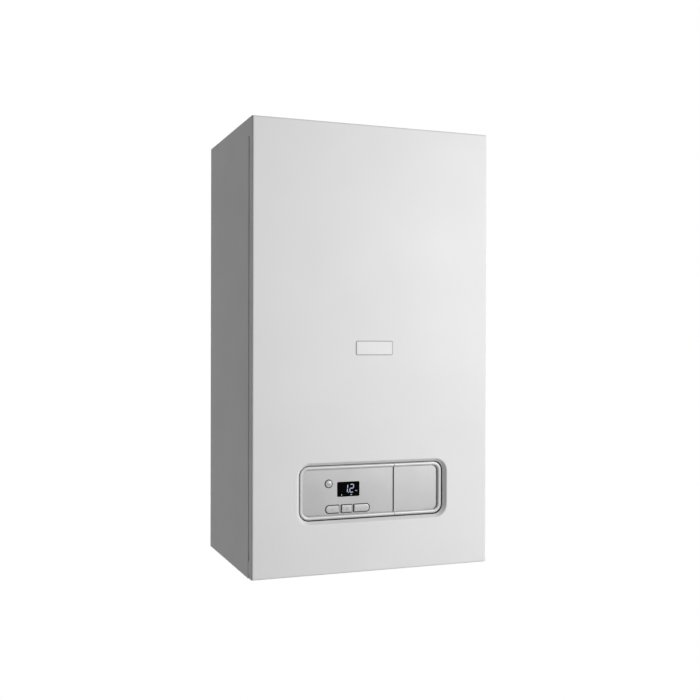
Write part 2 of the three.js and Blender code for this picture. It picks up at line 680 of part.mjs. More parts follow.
const pin = (x0, x1) => rod('x', PIN_RADIUS, x0, x1, pinY, pinZ, 16);
const TIMER_BAY = [60, 34];
const PILLAR_RADIUS = 3;
const PILLAR_SPREAD = [120, 38];
const boardY = boxFront + 16;
add('control_box', cut(
  join(
    cut(
      block(-boxSide, boxSide, boxFront, boxBack - BOX_COVER, boxFloor, boxTop),
      block(-boxSide + BOX_WALL, boxSide - BOX_WALL, boxFront + BOX_WALL, boxBack + 1,
        boxFloor + BOX_WALL, boxTop - BOX_WALL),
    ),
    pin(-earInner - EAR - 2, -boxSide + 1),
    pin(boxSide - 1, earInner + EAR + 2),
    ...[-1, 1].flatMap((sx) => [-1, 1].map((sz) => rod('y', PILLAR_RADIUS, boxFront + 1, boardY,
      sx * PILLAR_SPREAD[0], (boxFloor + boxTop) / 2 + sz * PILLAR_SPREAD[1], 10))),
  ),
  stemHole(BUTTON_X, buttonZ),
  ...keys.map(([, [x0, x1]]) => stemHole((x0 + x1) / 2, keyMiddle)),
  clip(CLIP_Z[0], FIT),
  clip(CLIP_Z[1], FIT),
  block(clipX - TIMER_BAY[0] / 2, clipX + TIMER_BAY[0] / 2, boxFront - 5, boxFront + 5,
    CONTROL_MIDDLE - TIMER_BAY[1] / 2, CONTROL_MIDDLE + TIMER_BAY[1] / 2),
), blackPlastic);

add('control_box_cover', join(
  block(-boxSide, boxSide, boxBack - BOX_COVER, boxBack, boxFloor, boxTop),
  cut(
    block(-boxSide + BOX_WALL + FIT, boxSide - BOX_WALL - FIT, boxBack - 6, boxBack,
      boxFloor + BOX_WALL + FIT, boxTop - BOX_WALL - FIT),
    block(-boxSide + 4, boxSide - 4, boxBack - 8, boxBack - BOX_COVER, boxFloor + 4, boxTop - 4),
  ),
), blackPlastic);

// Circuit board on its pillars, with a transformer, two relays and the terminal strip.
const BOARD_HALF = 150;
const BOARD_THICK = 1.6;
const BOARD_MARGIN = 8;
add('circuit_board', join(
  block(-BOARD_HALF, BOARD_HALF, boardY, boardY + BOARD_THICK,
    boxFloor + BOARD_MARGIN, boxTop - BOARD_MARGIN),
  block(60, 100, boardY + 1, boardY + 30, boxFloor + 30, boxFloor + 65),
  block(-20, 0, boardY + 1, boardY + 17, boxFloor + 40, boxFloor + 70),
  block(10, 30, boardY + 1, boardY + 17, boxFloor + 40, boxFloor + 70),
  block(-140, -60, boardY + 1, boardY + 14, boxFloor + 14, boxFloor + 26),
), greenBoard);

// Buttons: a cap in the fascia and a stem through the box's front wall.
const capBack = boxFront - KEY_TRAVEL - 0.2;
const stem = (x, z) => rod('y', STEM_RADIUS, capBack - 1, boxFront + BOX_WALL + 2, x, z, 12);
for (const [name, span, end] of keys) {
  add(name, join(
    plate(keyOutline(span, end, 0), fasciaFace - KEY_STAND, capBack),
    stem((span[0] + span[1]) / 2, keyMiddle),
  ), greyPlastic);
}
add('reset_button', join(
  rod('y', BUTTON_RADIUS - 1, fasciaFace - 2, fasciaFace - 1, BUTTON_X, buttonZ, 24,
    BUTTON_RADIUS),
  rod('y', BUTTON_RADIUS, fasciaFace - 1, capBack, BUTTON_X, buttonZ, 24),
  stem(BUTTON_X, buttonZ),
), greyPlastic);

// ---- Flue ---------------------------------------------------------------------------

const flueY = -FLUE_TO_WALL;
const COLLAR_WALL = 2.5;
const GASKET = 2;
const collarTop = CASE_HEIGHT + FLUE_STAND;
const gasketTop = CASE_HEIGHT + GASKET;
const flangeHalf = FLUE_RADIUS + 10;

add('flue_gasket', cut(
  block(-flangeHalf, flangeHalf, flueY - flangeHalf, flueY + flangeHalf, CASE_HEIGHT, gasketTop),
  rod('z', FLUE_RADIUS - 3, CASE_HEIGHT - 1, gasketTop + 1, 0, flueY, 32),
), rubber);

// The collar takes the outer flue pipe; three webs inside it hold the exhaust duct.
const web = (angle) => {
  const inner = DUCT_RADIUS + FIT;
  const outer = FLUE_RADIUS + 1;
  const shape = new THREE.BoxGeometry(outer - inner, 2, 10);
  shape.translate((outer + inner) / 2, 0, gasketTop + 5);
  return solid(shape.rotateZ(THREE.MathUtils.degToRad(angle)).translate(0, flueY, 0));
};
add('flue_collar', join(
  cut(
    join(
      rod('z', FLUE_RADIUS + COLLAR_WALL, gasketTop, collarTop, 0, flueY, 32),
      block(-flangeHalf, flangeHalf, flueY - flangeHalf, flueY + flangeHalf,
        gasketTop, gasketTop + 2.5),
    ),
    rod('z', FLUE_RADIUS, gasketTop - 1, collarTop + 1, 0, flueY, 32),
  ),
  web(90),
  web(210),
  web(330),
), castAluminium);

// ---- Heat exchanger and burner ------------------------------------------------------

const heatTop = heatZ + HEAT_RADIUS;
const ventY = flueY;
add('exhaust_duct', pipe([
  [HEAT_X, ventY, heatTop + 12 + FIT],
  [HEAT_X, ventY, heatTop + 32],
  [0, ventY, CASE_HEIGHT - 25],
  [0, ventY, collarTop - 2],
], DUCT_RADIUS, { wall: DUCT_WALL, bend: 40, sides: 14 }), castAluminium);

const flowPort = { x: HEAT_X - HEAT_RADIUS - 8, y: heatFront + 75, z: heatZ - 20 };
const returnPort = { x: HEAT_X + 75, y: heatFront + 75, z: heatZ - HEAT_RADIUS + 12 };
const sumpPort = { x: HEAT_X - 15, y: heatBack - 30, z: heatZ - HEAT_RADIUS - 10 };
const hangEar = (y) => block(-sideInner + FIT, HEAT_X - HEAT_RADIUS + 20, y, y + 3,
  heatZ + 10, heatZ + 60);
const chamberRadius = HEAT_RADIUS - CHAMBER_WALL;
const sparkReach = (BURNER_RADIUS + chamberRadius) / 2;
const throat = sparkReach - SPARK_RADIUS - 2 * FIT;
add('heat_exchanger', cut(
  join(
    rod('y', HEAT_RADIUS, heatFront, heatBack, HEAT_X, heatZ, 32),
    rod('y', HEAT_RADIUS + 3, heatFront, heatFront + 6, HEAT_X, heatZ, 32),
    rod('z', DUCT_RADIUS + 3, heatZ + 70, heatTop + 12, HEAT_X, ventY, 24),
    rod('x', 12, flowPort.x, HEAT_X - 60, flowPort.y, flowPort.z, 12),
    rod('z', 12, returnPort.z, heatZ, returnPort.x, returnPort.y, 12),
    rod('z', 11, sumpPort.z, heatZ - 50, sumpPort.x, sumpPort.y, 12),
    hangEar(heatFront + 20),
    hangEar(heatBack - 20),
  ),
  rod('y', chamberRadius, heatFront - 1, heatBack - 25, HEAT_X, heatZ, 24),
  rod('z', DUCT_RADIUS - 2, heatZ, heatTop + 20, HEAT_X, ventY, 20),
  rod('x', 8, flowPort.x - 1, flowPort.x + 14, flowPort.y, flowPort.z, 12),
  rod('z', 8, returnPort.z - 1, returnPort.z + 14, returnPort.x, returnPort.y, 12),
  rod('z', 7, sumpPort.z - 1, sumpPort.z + 8, sumpPort.x, sumpPort.y, 12),
), steel);

add('door_gasket', cut(
  rod('y', DOOR_RADIUS - 2, doorBack, heatFront, HEAT_X, heatZ, 24),
  rod('y', chamberRadius + 4, doorBack - 1, heatFront + 1, HEAT_X, heatZ, 24),
), rubber);

// Burner door: a cast disc with a hollow inlet that turns towards the fan.
const inletZ = heatZ - 5;
const inletFront = doorFront - 26;
const doorArm = HEAT_X + HEAT_RADIUS - 2;
const drumRadius = sparkReach - SPARK_RADIUS - DRUM_GAP;
const wing = (angle) => rod('y', 5, doorFront - 6, doorFront + 1,
  HEAT_X + (DOOR_RADIUS - 9) * Math.cos(THREE.MathUtils.degToRad(angle)),
  heatZ + (DOOR_RADIUS - 9) * Math.sin(THREE.MathUtils.degToRad(angle)), 6);
const mixY = doorFront - 13 - FIT;
const sparkTurn = THREE.MathUtils.degToRad(128);
const sparkAt = {
  x: HEAT_X + sparkReach * Math.cos(sparkTurn),
  z: heatZ + sparkReach * Math.sin(sparkTurn),
};
const sightAt = { x: HEAT_X - 52, z: heatZ - 25 };
add('burner_door', cut(
  join(
    rod('y', DOOR_RADIUS, doorFront, doorBack, HEAT_X, heatZ, 28),
    rod('y', drumRadius, inletFront, doorFront + 1, HEAT_X, heatZ, 24),
    block(HEAT_X, doorArm, inletFront, doorFront - FIT, inletZ - 20, inletZ + 20),
    ...[35, 95, 155, 215, 275, 330].map(wing),
  ),
  rod('y', BURNER_RADIUS - 4, inletFront + 4, doorBack + 1, HEAT_X, heatZ, 24),
  block(HEAT_X, doorArm + 1, inletFront + 4, doorFront - 4, inletZ - 16, inletZ + 16),
  rod('y', SPARK_RADIUS + FIT, doorFront - 10, doorBack + 1, sparkAt.x, sparkAt.z, 12),
  rod('y', 7, doorFront - 10, doorBack + 1, sightAt.x, sightAt.z, 16),
), castAluminium);

add('burner_tube', cut(
  join(
    rod('y', BURNER_RADIUS, doorBack + FIT, doorBack + BURNER_LENGTH, HEAT_X, heatZ, 24),
    rod('y', throat, doorBack, doorBack + 2, HEAT_X, heatZ, 24),
  ),
  rod('y', BURNER_RADIUS - 1.5, doorBack - 1, doorBack + BURNER_LENGTH - 2, HEAT_X, heatZ, 24),
), steel);

add('ignition_electrode', join(
  rod('y', SPARK_RADIUS, doorFront - 16, doorBack + 12, sparkAt.x, sparkAt.z, 12),
  rod('y', SPARK_RADIUS + 2, doorFront - 5, doorFront, sparkAt.x, sparkAt.z, 12),
  rod('y', 1.5, doorFront - 24, doorBack + 40, sparkAt.x, sparkAt.z, 8),
), ceramic);

add('sight_glass', join(
  rod('y', 11, doorFront - 3, doorFront, sightAt.x, sightAt.z, 20),
  rod('y', 6.5, doorFront - 1, doorBack - 1, sightAt.x, sightAt.z, 16),
), darkGlass);

// ---- Fan, mixing and gas ------------------------------------------------------------

const outletX = [fanX - FAN_RADIUS, fanX - FAN_RADIUS + 2 * MIX_RADIUS + 2];
const outletMiddle = (outletX[0] + outletX[1]) / 2;
const fanMiddleY = (fanFront + fanBack) / 2;
const outletFloor = fanZ - FAN_RADIUS - 2;
const fanEar = block(fanX + FAN_RADIUS - 8, sideInner - FIT, fanBack - 9, fanBack - 5,
  fanZ - 15, fanZ + 15);
add('fan_housing', cut(
  join(
    rod('y', FAN_RADIUS, fanFront, fanBack, fanX, fanZ, 32),
    block(...outletX, fanFront, fanBack, outletFloor, fanZ),
    fanEar,
  ),
  rod('y', FAN_RADIUS - FAN_WALL, fanFront + FAN_WALL, fanBack - FAN_WALL, fanX, fanZ, 32),
  block(outletX[0] + FAN_WALL, outletX[1] - FAN_WALL, fanFront + FAN_WALL, fanBack - FAN_WALL,
    outletFloor - 1, fanZ),
  rod('y', 24, fanFront - 1, fanFront + FAN_WALL + 1, fanX, fanZ, 24),
  rod('y', SHAFT_RADIUS + FIT, fanBack - FAN_WALL - 1, fanBack + 1, fanX, fanZ, 16),
), castAluminium);

const BLADES = 9;
const wheelFront = fanFront + FAN_WALL + 3;
const wheelBack = fanBack - FAN_WALL - 3;
function blade(turn) {
  const shape = new THREE.BoxGeometry(IMPELLER_RADIUS - 22, wheelBack - wheelFront, 2);
  shape.rotateY(0.5).translate((IMPELLER_RADIUS + 18) / 2, 0, 0).rotateY(turn);
  return solid(shape.translate(fanX, (wheelFront + wheelBack) / 2, fanZ));
}
add('fan_impeller', join(
  rod('y', IMPELLER_RADIUS, wheelBack - 2, wheelBack, fanX, fanZ, 24),
  cut(
    rod('y', IMPELLER_RADIUS, wheelFront, wheelFront + 2, fanX, fanZ, 24),
    rod('y', 28, wheelFront - 1, wheelFront + 3, fanX, fanZ, 24),
  ),
  rod('y', 10, wheelFront + 8, wheelBack - 1, fanX, fanZ, 16),
  rod('y', SHAFT_RADIUS, wheelBack - 5, fanBack + 16, fanX, fanZ, 16),
  ...Array.from({ length: BLADES }, (_, i) => blade((2 * Math.PI * i) / BLADES)),
), blackPlastic);

add('fan_motor', cut(
  join(
    rod('y', 34, fanBack, fanBack + 34, fanX, fanZ, 24),
    block(fanX - 14, fanX + 14, fanBack + 4, fanBack + 30, fanZ + 28, fanZ + 42),
  ),
  rod('y', SHAFT_RADIUS + FIT, fanBack - 1, fanBack + 18, fanX, fanZ, 16),
), blackPlastic);

// The mixing duct carries air and gas from the fan's outlet to the burner door.
const ductLow = inletZ;
add('mixing_duct', pipe([
  [outletMiddle, fanMiddleY, outletFloor - FIT],
  [outletMiddle, fanMiddleY, ductLow],
  [outletMiddle, mixY, ductLow],
  [doorArm + FIT, mixY, ductLow],
], 12.5, { wall: 1.5, bend: 14, sides: 12 }), castAluminium);

const venturiFront = fanFront - 42;
const gasPortZ = fanZ - 34;
const gasPortY = fanFront - 20;
add('venturi', cut(
  join(
    rod('y', 30, venturiFront, fanFront, fanX, fanZ, 24),
    rod('z', 11, gasPortZ, fanZ - 20, fanX, gasPortY, 12),
  ),
  rod('y', 24, venturiFront - 1, fanMiddleY - 40, fanX, fanZ, 24, 16),
  rod('y', 16, fanMiddleY - 42, fanFront + 1, fanX, fanZ, 24, 22),
  rod('z', 6, gasPortZ - 1, fanZ, fanX, gasPortY, 10),
), blackPlastic);

const valveFloor = plateTop + 30;
const valveTop = valveFloor + 70;
const valveY = tailY - 18;
add('gas_valve', join(
  block(-26, 44, valveY - 32, valveY + 32, valveFloor, valveTop - 12),
  rod('y', 17, valveY - 44, valveY - 30, 9, valveFloor + 30, 20),
  block(-20, 4, valveY - 28, valveY + 28, valveTop - 14, valveTop),
  nut(13, valveTop - 14, valveTop - 2, 24, valveY),
), castAluminium);

const gasRise = valveTop + 42;
add('gas_pipe_upper', pipe([
  [24, valveY, valveTop - 2 + FIT],
  [24, valveY, gasRise],
  [fanX, gasPortY, gasRise],
  [fanX, gasPortY, gasPortZ - FIT],
], GAS_PIPE_RADIUS, { wall: PIPE_WALL, bend: 20 }), copper);

add('gas_pipe_lower', cut(
  join(
    rod('z', GAS_PIPE_RADIUS + 1, TAIL_END, valveFloor, gasTail.x, gasTail.y, 16),
    nut(13, valveFloor - 14, valveFloor - 2, gasTail.x, gasTail.y),
    nut(13, TAIL_END + 8, TAIL_END + 22, gasTail.x, gasTail.y),
  ),
  rod('z', GAS_PIPE_RADIUS - 1, TAIL_END - 1, valveFloor + 1, gasTail.x, gasTail.y, 12),
), copper);

// ---- Water --------------------------------------------------------------------------

const tail = ({ x, y }) => join(
  rod('z', TAIL_RADIUS, TAIL_END, floorTop + 4, x, y, 16),
  nut(TAIL_RADIUS + 5, TAIL_END + 6, TAIL_END + 22, x, y));
const tailBore = ({ x, y }) => rod('z', TAIL_RADIUS - 3, TAIL_END - 1, floorTop + 12, x, y, 12);

// Plate heat exchanger: thin brazed plates show as ribs along its long faces.
const RIBS = 9;
const ribPitch = PLATE_DEPTH / RIBS;
const plateRibs = Array.from({ length: RIBS - 1 }, (_, i) => {
  const y = plateFront + ribPitch * (i + 1);
  return [
    block(-plateSide + 6, plateSide - 6, y - 0.8, y + 0.8, plateTop - 1.5, plateTop + 1),
    block(-plateSide + 6, plateSide - 6, y - 0.8, y + 0.8, plateFloor - 1, plateFloor + 1.5),
  ];
}).flat();
add('plate_heat_exchanger', cut(
  plate(outline(-plateSide, plateSide, plateFloor, plateTop, 12, 4), plateFront, plateBack),
  ...plateRibs,
), steel);

// Diverter: its stem slides in the block under a small motor on two legs.
const stemAt = { x: flowBlock[0] + 40, y: blockBack - 26 };
const flowEnd = { x: flowBlock[0] + 20, y: blockFront + 28 };
const STEM = 3;
const motorFloor = blockTop + 9;
const fillAt = { x: flowBlock[0] + 30, z: floorTop + 24 };
add('diverter_body', cut(
  join(
    block(...flowBlock, blockFront, blockBack, floorTop, blockTop - 12),
    block(flowBlock[0] + 6, flowBlock[1] - 4, blockFront + 8, blockBack - 4,
      blockTop - 14, blockTop),
    tail(flowTail),
  ),
  tailBore(flowTail),
  rod('z', STEM + FIT, blockTop - 45, blockTop + 1, stemAt.x, stemAt.y, 12),
  rod('z', PIPE_RADIUS - 1, blockTop - 20, blockTop + 1, flowEnd.x, flowEnd.y, 12),
), blackPlastic);

add('diverter_stem', join(
  rod('z', STEM, blockTop - 38, motorFloor + 12, stemAt.x, stemAt.y, 12),
  rod('z', STEM + 3, blockTop + 0.6, blockTop + 2.6, stemAt.x, stemAt.y, 12),
), brass);

add('diverter_motor', cut(
  join(
    block(stemAt.x - 19, stemAt.x + 17, stemAt.y - 20, stemAt.y + 20,
      motorFloor, motorFloor + 42),
    block(stemAt.x - 19, stemAt.x - 13, stemAt.y - 8, stemAt.y + 8, blockTop, motorFloor + 1),
    block(stemAt.x + 11, stemAt.x + 17, stemAt.y - 8, stemAt.y + 8, blockTop, motorFloor + 1),
  ),
  rod('z', STEM + FIT, motorFloor - 1, motorFloor + 20, stemAt.x, stemAt.y, 12),
), greyPlastic);

add('filling_valve', join(
  rod('y', 10, blockFront - 22, blockFront, fillAt.x, fillAt.z, 16),
  rod('y', 13, blockFront - 10, blockFront - 4, fillAt.x, fillAt.z, 6),
), brass);

// A knob with three lobes.
function lobedKnob(radius, y0, y1, x, z) {
  const lobes = [90, 210, 330].map((angle) => {
    const turn = THREE.MathUtils.degToRad(angle);
    return rod('y', radius * 0.42, y0, y1,
      x + radius * 0.58 * Math.cos(turn), z + radius * 0.58 * Math.sin(turn), 12);
  });
  return join(rod('y', radius * 0.72, y0, y1, x, z, 18), ...lobes);
}
add('filling_knob', lobedKnob(15, blockFront - 38, blockFront - 22 - FIT, fillAt.x, fillAt.z),
  bluePlastic);

// Pump: the wheel turns in the return block; its shaft runs in the motor in front.
const pumpAt = { x: returnBlock[1] - PUMP_RADIUS + 6, z: floorTop + 50 };
const pumpFront = blockFront - PUMP_LENGTH;
const returnStart = { x: returnBlock[0] + 60, y: blockFront + 40 };
const vesselEnd = { x: returnBlock[0] + 20, y: blockBack - 30 };
const ventAt = { x: returnBlock[0] + 26, y: blockFront + 26 };
add('pump_housing', cut(
  join(
    block(...returnBlock, blockFront, blockBack, floorTop, blockTop - 14),
    block(returnBlock[0] + 4, returnBlock[1] - 6, blockFront + 6, blockBack - 6,
      blockTop - 16, blockTop),
    tail(returnTail),
    rod('z', 14, blockTop - 1, blockTop + 40, ventAt.x, ventAt.y, 20),
    rod('z', 6, blockTop + 39, blockTop + 48, ventAt.x, ventAt.y, 12),
  ),
  rod('y', PUMP_RADIUS - 8, blockFront - 1, blockFront + 18, pumpAt.x, pumpAt.z, 24),
  tailBore(returnTail),
  rod('z', PIPE_RADIUS - 1, blockTop - 20, blockTop + 1, returnStart.x, returnStart.y, 12),
), blackPlastic);

const WHEEL_BLADES = 6;
add('pump_impeller', join(
  rod('y', PUMP_RADIUS - 12, blockFront + 12, blockFront + 14, pumpAt.x, pumpAt.z, 24),
  rod('y', 8, blockFront + 3, blockFront + 13, pumpAt.x, pumpAt.z, 16),
  rod('y', SHAFT_RADIUS, blockFront - 22, blockFront + 4, pumpAt.x, pumpAt.z, 16),
  ...Array.from({ length: WHEEL_BLADES }, (_, i) => {
    const shape = new THREE.BoxGeometry(PUMP_RADIUS - 20, 9, 2);
    shape.rotateY(0.6).translate(PUMP_RADIUS / 2 - 2, 0, 0);
    shape.rotateY((2 * Math.PI * i) / WHEEL_BLADES);
    return solid(shape.translate(pumpAt.x, blockFront + 8, pumpAt.z));
  }),
), blackPlastic);

add('pump_motor', cut(
  join(
    rod('y', PUMP_RADIUS, blockFront - PUMP_LENGTH * 0.62, blockFront, pumpAt.x, pumpAt.z, 28),
    rod('y', PUMP_RADIUS - 5, pumpFront, blockFront - 20, pumpAt.x, pumpAt.z, 28),
    block(pumpAt.x - 18, pumpAt.x + 18, pumpFront + 6, blockFront - 4,
      pumpAt.z + PUMP_RADIUS - 8, pumpAt.z + PUMP_RADIUS + 10),
  ),
  rod('y', SHAFT_RADIUS + FIT, blockFront - 24, blockFront + 1, pumpAt.x, pumpAt.z, 16),
), blackPlastic);

// Relief valve: body on the return block's front, knob, and a discharge tail.
const reliefZ = floorTop + 14;
add('relief_valve', cut(
  join(
    rod('y', 9, blockFront - 26, blockFront, reliefTail.x, reliefZ, 16),
    rod('z', 7, TAIL_END + 4, reliefZ, reliefTail.x, reliefTail.y, 14),
  ),
  rod('z', 5, TAIL_END, reliefZ - 4, reliefTail.x, reliefTail.y, 12),
), brass);
add('relief_knob', lobedKnob(11, blockFront - 40, blockFront - 26 - FIT,
  reliefTail.x, reliefZ), redPlastic);

// Cold water comes up through the flow sensor into the plate heat exchanger.
const sensorFloor = plateFloor + 4;
add('cold_water_pipe', cut(
  join(
    rod('z', PIPE_RADIUS - 1, TAIL_END, sensorFloor - FIT, coldTail.x, coldTail.y, 16),
    nut(13, TAIL_END + 6, TAIL_END + 20, coldTail.x, coldTail.y),
    nut(12, sensorFloor - 12, sensorFloor - FIT - 1, coldTail.x, coldTail.y),
  ),
  rod('z', PIPE_RADIUS - 2, TAIL_END - 1, sensorFloor + 1, coldTail.x, coldTail.y, 12),
), copper);
add('flow_sensor', join(
  rod('z', 13, sensorFloor, sensorFloor + 44, coldTail.x, coldTail.y, 20),
  rod('y', 9, coldTail.y, plateFront, coldTail.x, sensorFloor + 34, 16),
  block(coldTail.x - 9, coldTail.x + 9, coldTail.y - 22, coldTail.y - 8,
    sensorFloor + 12, sensorFloor + 32),
), blackPlastic);

const hotRun = floorTop + 17;
const plateMiddle = (plateFront + plateBack) / 2;
add('hot_water_pipe', join(
  pipe([
    [hotTail.x, plateMiddle, plateFloor - FIT],
    [hotTail.x, plateMiddle, hotRun],
    [hotTail.x, hotTail.y, hotRun],
    [hotTail.x, hotTail.y, TAIL_END],
  ], PIPE_RADIUS - 1, { wall: PIPE_WALL, bend: 13 }),
  cut(nut(13, TAIL_END + 6, TAIL_END + 20, hotTail.x, hotTail.y),
    rod('z', PIPE_RADIUS - 2, TAIL_END, TAIL_END + 30, hotTail.x, hotTail.y, 10)),
), copper);

const flowDrop = blockTop + 70;
const flowWay = flowPort.x - 24;
add('flow_pipe', pipe([
  [flowPort.x - FIT, flowPort.y, flowPort.z],
  [flowWay, flowPort.y, flowPort.z],
  [flowWay, flowPort.y, flowDrop],
  [flowEnd.x, flowEnd.y, flowDrop - 32],
  [flowEnd.x, flowEnd.y, blockTop + FIT],
], PIPE_RADIUS, { wall: PIPE_WALL }), copper);

const returnRise = returnPort.z - 50;
add('return_pipe', pipe([
  [returnStart.x, returnStart.y, blockTop + FIT],
  [returnStart.x, returnStart.y, returnRise],
  [returnPort.x, returnPort.y, returnRise],
  [returnPort.x, returnPort.y, returnPort.z - FIT],
], PIPE_RADIUS, { wall: PIPE_WALL }), copper);

// Expansion vessel: a flat drum with a folded rim, hung on the back frame by its boss.
const vesselBack = backFace - 4;
const vesselFront = vesselBack - VESSEL_THICK;
const vesselMiddle = (vesselBack + vesselFront) / 2;
const VESSEL_DOME = 12;
const VESSEL_WALL = 2;
add('expansion_vessel', cut(
  join(
    rod('y', VESSEL_RADIUS - 14, vesselFront, vesselFront + VESSEL_DOME, 0, vesselZ, 28,
      VESSEL_RADIUS - 4),
    rod('y', VESSEL_RADIUS - 4, vesselFront + VESSEL_DOME, vesselBack - VESSEL_DOME,
      0, vesselZ, 28),
    rod('y', VESSEL_RADIUS, vesselMiddle - 3, vesselMiddle + 3, 0, vesselZ, 28),
    rod('y', VESSEL_RADIUS - 4, vesselBack - VESSEL_DOME, vesselBack, 0, vesselZ, 28,
      VESSEL_RADIUS - 14),
    rod('y', 16, vesselBack - 1, backFace, 0, vesselZ, 16),
    rod('z', 10, vesselZ - VESSEL_RADIUS - 8, vesselZ - VESSEL_RADIUS + 10,
      0, vesselMiddle, 12),
  ),
  rod('y', VESSEL_RADIUS - 4 - VESSEL_WALL, vesselFront + VESSEL_DOME, vesselBack - VESSEL_DOME,
    0, vesselZ, 28),
  rod('z', 5, vesselZ - VESSEL_RADIUS - 9, vesselZ - VESSEL_RADIUS + 14, 0, vesselMiddle, 10),
), redPaint);

const vesselDrop = blockTop + 60;
add('vessel_pipe', pipe([
  [0, vesselMiddle, vesselZ - VESSEL_RADIUS - 8 - FIT],
  [0, vesselMiddle, vesselDrop + 20],
  [vesselEnd.x, vesselEnd.y, vesselDrop - 20],
  [vesselEnd.x, vesselEnd.y, blockTop + FIT],
], 6, { wall: PIPE_WALL, bend: 16, sides: 8 }), copper);

// Condensate trap with its tail through the bottom plate, and its hose from the sump.
const trapTop = floorTop + 140;
add('condensate_trap', cut(
  join(
    rod('z', 20, floorTop, trapTop - 20, trapTail.x, trapTail.y, 20),
    rod('z', 12, trapTop - 22, trapTop, trapTail.x, trapTail.y, 16),
    rod('z', 9.5, TAIL_END + 4, floorTop + 2, trapTail.x, trapTail.y, 16),
  ),
  rod('z', 7, trapTop - 20, trapTop + 1, trapTail.x, trapTail.y, 12),
  rod('z', 7, TAIL_END, floorTop - 6, trapTail.x, trapTail.y, 12),
), greyPlastic);

const hoseDrop = sumpPort.z - 105;
add('condensate_hose', pipe([
  [sumpPort.x, sumpPort.y, sumpPort.z - FIT],
  [sumpPort.x, sumpPort.y, hoseDrop],
  [trapTail.x, trapTail.y, hoseDrop - 50],
  [trapTail.x, trapTail.y, trapTop + FIT],
], 9, { wall: 2, bend: 26 }), greyPlastic);

// ---- The whole ----------------------------------------------------------------------

boiler.position.y = (CASE_DEPTH + PLAQUE_STAND) / 2;

export default boiler;
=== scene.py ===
"""A wall-hung combi boiler: white casing, control recess and the working parts inside.

Z is up, X runs across the boiler and Y from the front panel to the wall. The camera, lamps
and floor are placed in metres. Shapes are made in millimetres with Y measured from the wall,
so that places in front of it are negative, and each piece is moved into the frame as it ends.
"""

import math

import bmesh
import bpy
from mathutils import Matrix, Vector


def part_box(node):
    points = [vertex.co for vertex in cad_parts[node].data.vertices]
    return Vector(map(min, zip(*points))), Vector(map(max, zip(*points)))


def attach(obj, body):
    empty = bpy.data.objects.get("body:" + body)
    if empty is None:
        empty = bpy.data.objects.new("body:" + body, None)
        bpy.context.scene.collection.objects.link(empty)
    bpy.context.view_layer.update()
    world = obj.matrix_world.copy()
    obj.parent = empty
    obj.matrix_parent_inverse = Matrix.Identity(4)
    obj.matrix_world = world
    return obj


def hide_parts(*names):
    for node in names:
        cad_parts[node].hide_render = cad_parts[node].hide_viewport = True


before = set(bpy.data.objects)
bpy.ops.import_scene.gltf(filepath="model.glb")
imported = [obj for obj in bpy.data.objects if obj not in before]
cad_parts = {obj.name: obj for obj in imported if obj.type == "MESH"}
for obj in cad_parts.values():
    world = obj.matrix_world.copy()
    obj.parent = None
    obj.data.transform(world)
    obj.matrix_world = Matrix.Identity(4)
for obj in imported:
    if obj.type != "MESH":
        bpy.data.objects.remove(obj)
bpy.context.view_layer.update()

MM = 0.001
WALL_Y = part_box("hanging_bracket")[1].y
TO_FRAME = Matrix.Translation((0, WALL_Y, 0)) @ Matrix.Scale(MM, 4)


class Nodes:
    """Adds nodes to a tree. An input is given a value, or the output that feeds it."""

    def __init__(self, tree):
        self.tree = tree

    def __call__(self, kind, inputs=(), **settings):
        node = self.tree.nodes.new(kind)
        for name, value in settings.items():
            setattr(node, name, value)
        for label, value in dict(inputs).items():
            if isinstance(value, bpy.types.NodeSocket):
                self.tree.links.new(value, node.inputs[label])
            else:
                node.inputs[label].default_value = value
        return node.outputs

    def math(self, operation, *values):
        return self("ShaderNodeMath", enumerate(values), operation=operation)[0]


# ---- Camera, lamps and floor ---------------------------------------------------------

CAMERA_PLACE = Vector((-0.6145, -1.6721, 0.3756))
CAMERA_TURN = math.radians(20.56)  # towards +X from straight ahead
CAMERA_DIP = math.radians(0.28)
CAMERA_ROLL = math.radians(0.14)
CAMERA_LENS = 50.9  # millimetres, on a 36 mm sensor


def make_camera():
    data = bpy.data.cameras.new("camera")
    data.lens = CAMERA_LENS
    data.sensor_width = 36
    data.clip_start = 0.01
    camera = bpy.data.objects.new("camera", data)
    turn = Matrix.Rotation(-CAMERA_TURN, 4, "Z")
    tilt = Matrix.Rotation(math.radians(90) - CAMERA_DIP, 4, "X")
    roll = Matrix.Rotation(CAMERA_ROLL, 4, "Z")
    camera.matrix_world = Matrix.Translation(CAMERA_PLACE) @ turn @ tilt @ roll
    bpy.context.scene.collection.objects.link(camera)
    bpy.context.scene.camera = camera


def make_lamp(name, place, target, size, power):
    data = bpy.data.lights.new(name, "AREA")
    data.shape = "DISK"
    data.size = size
    data.energy = power
    lamp = bpy.data.objects.new(name, data)
    place = Vector(place)
    aim = (Vector(target) - place).to_track_quat("-Z", "Y")
    lamp.matrix_world = Matrix.Translation(place) @ aim.to_matrix().to_4x4()
    bpy.context.scene.collection.objects.link(lamp)


WHITE = (1, 1, 1, 1)
AMBIENT = 0.135  # the shade side of the casing shows this much of its colour


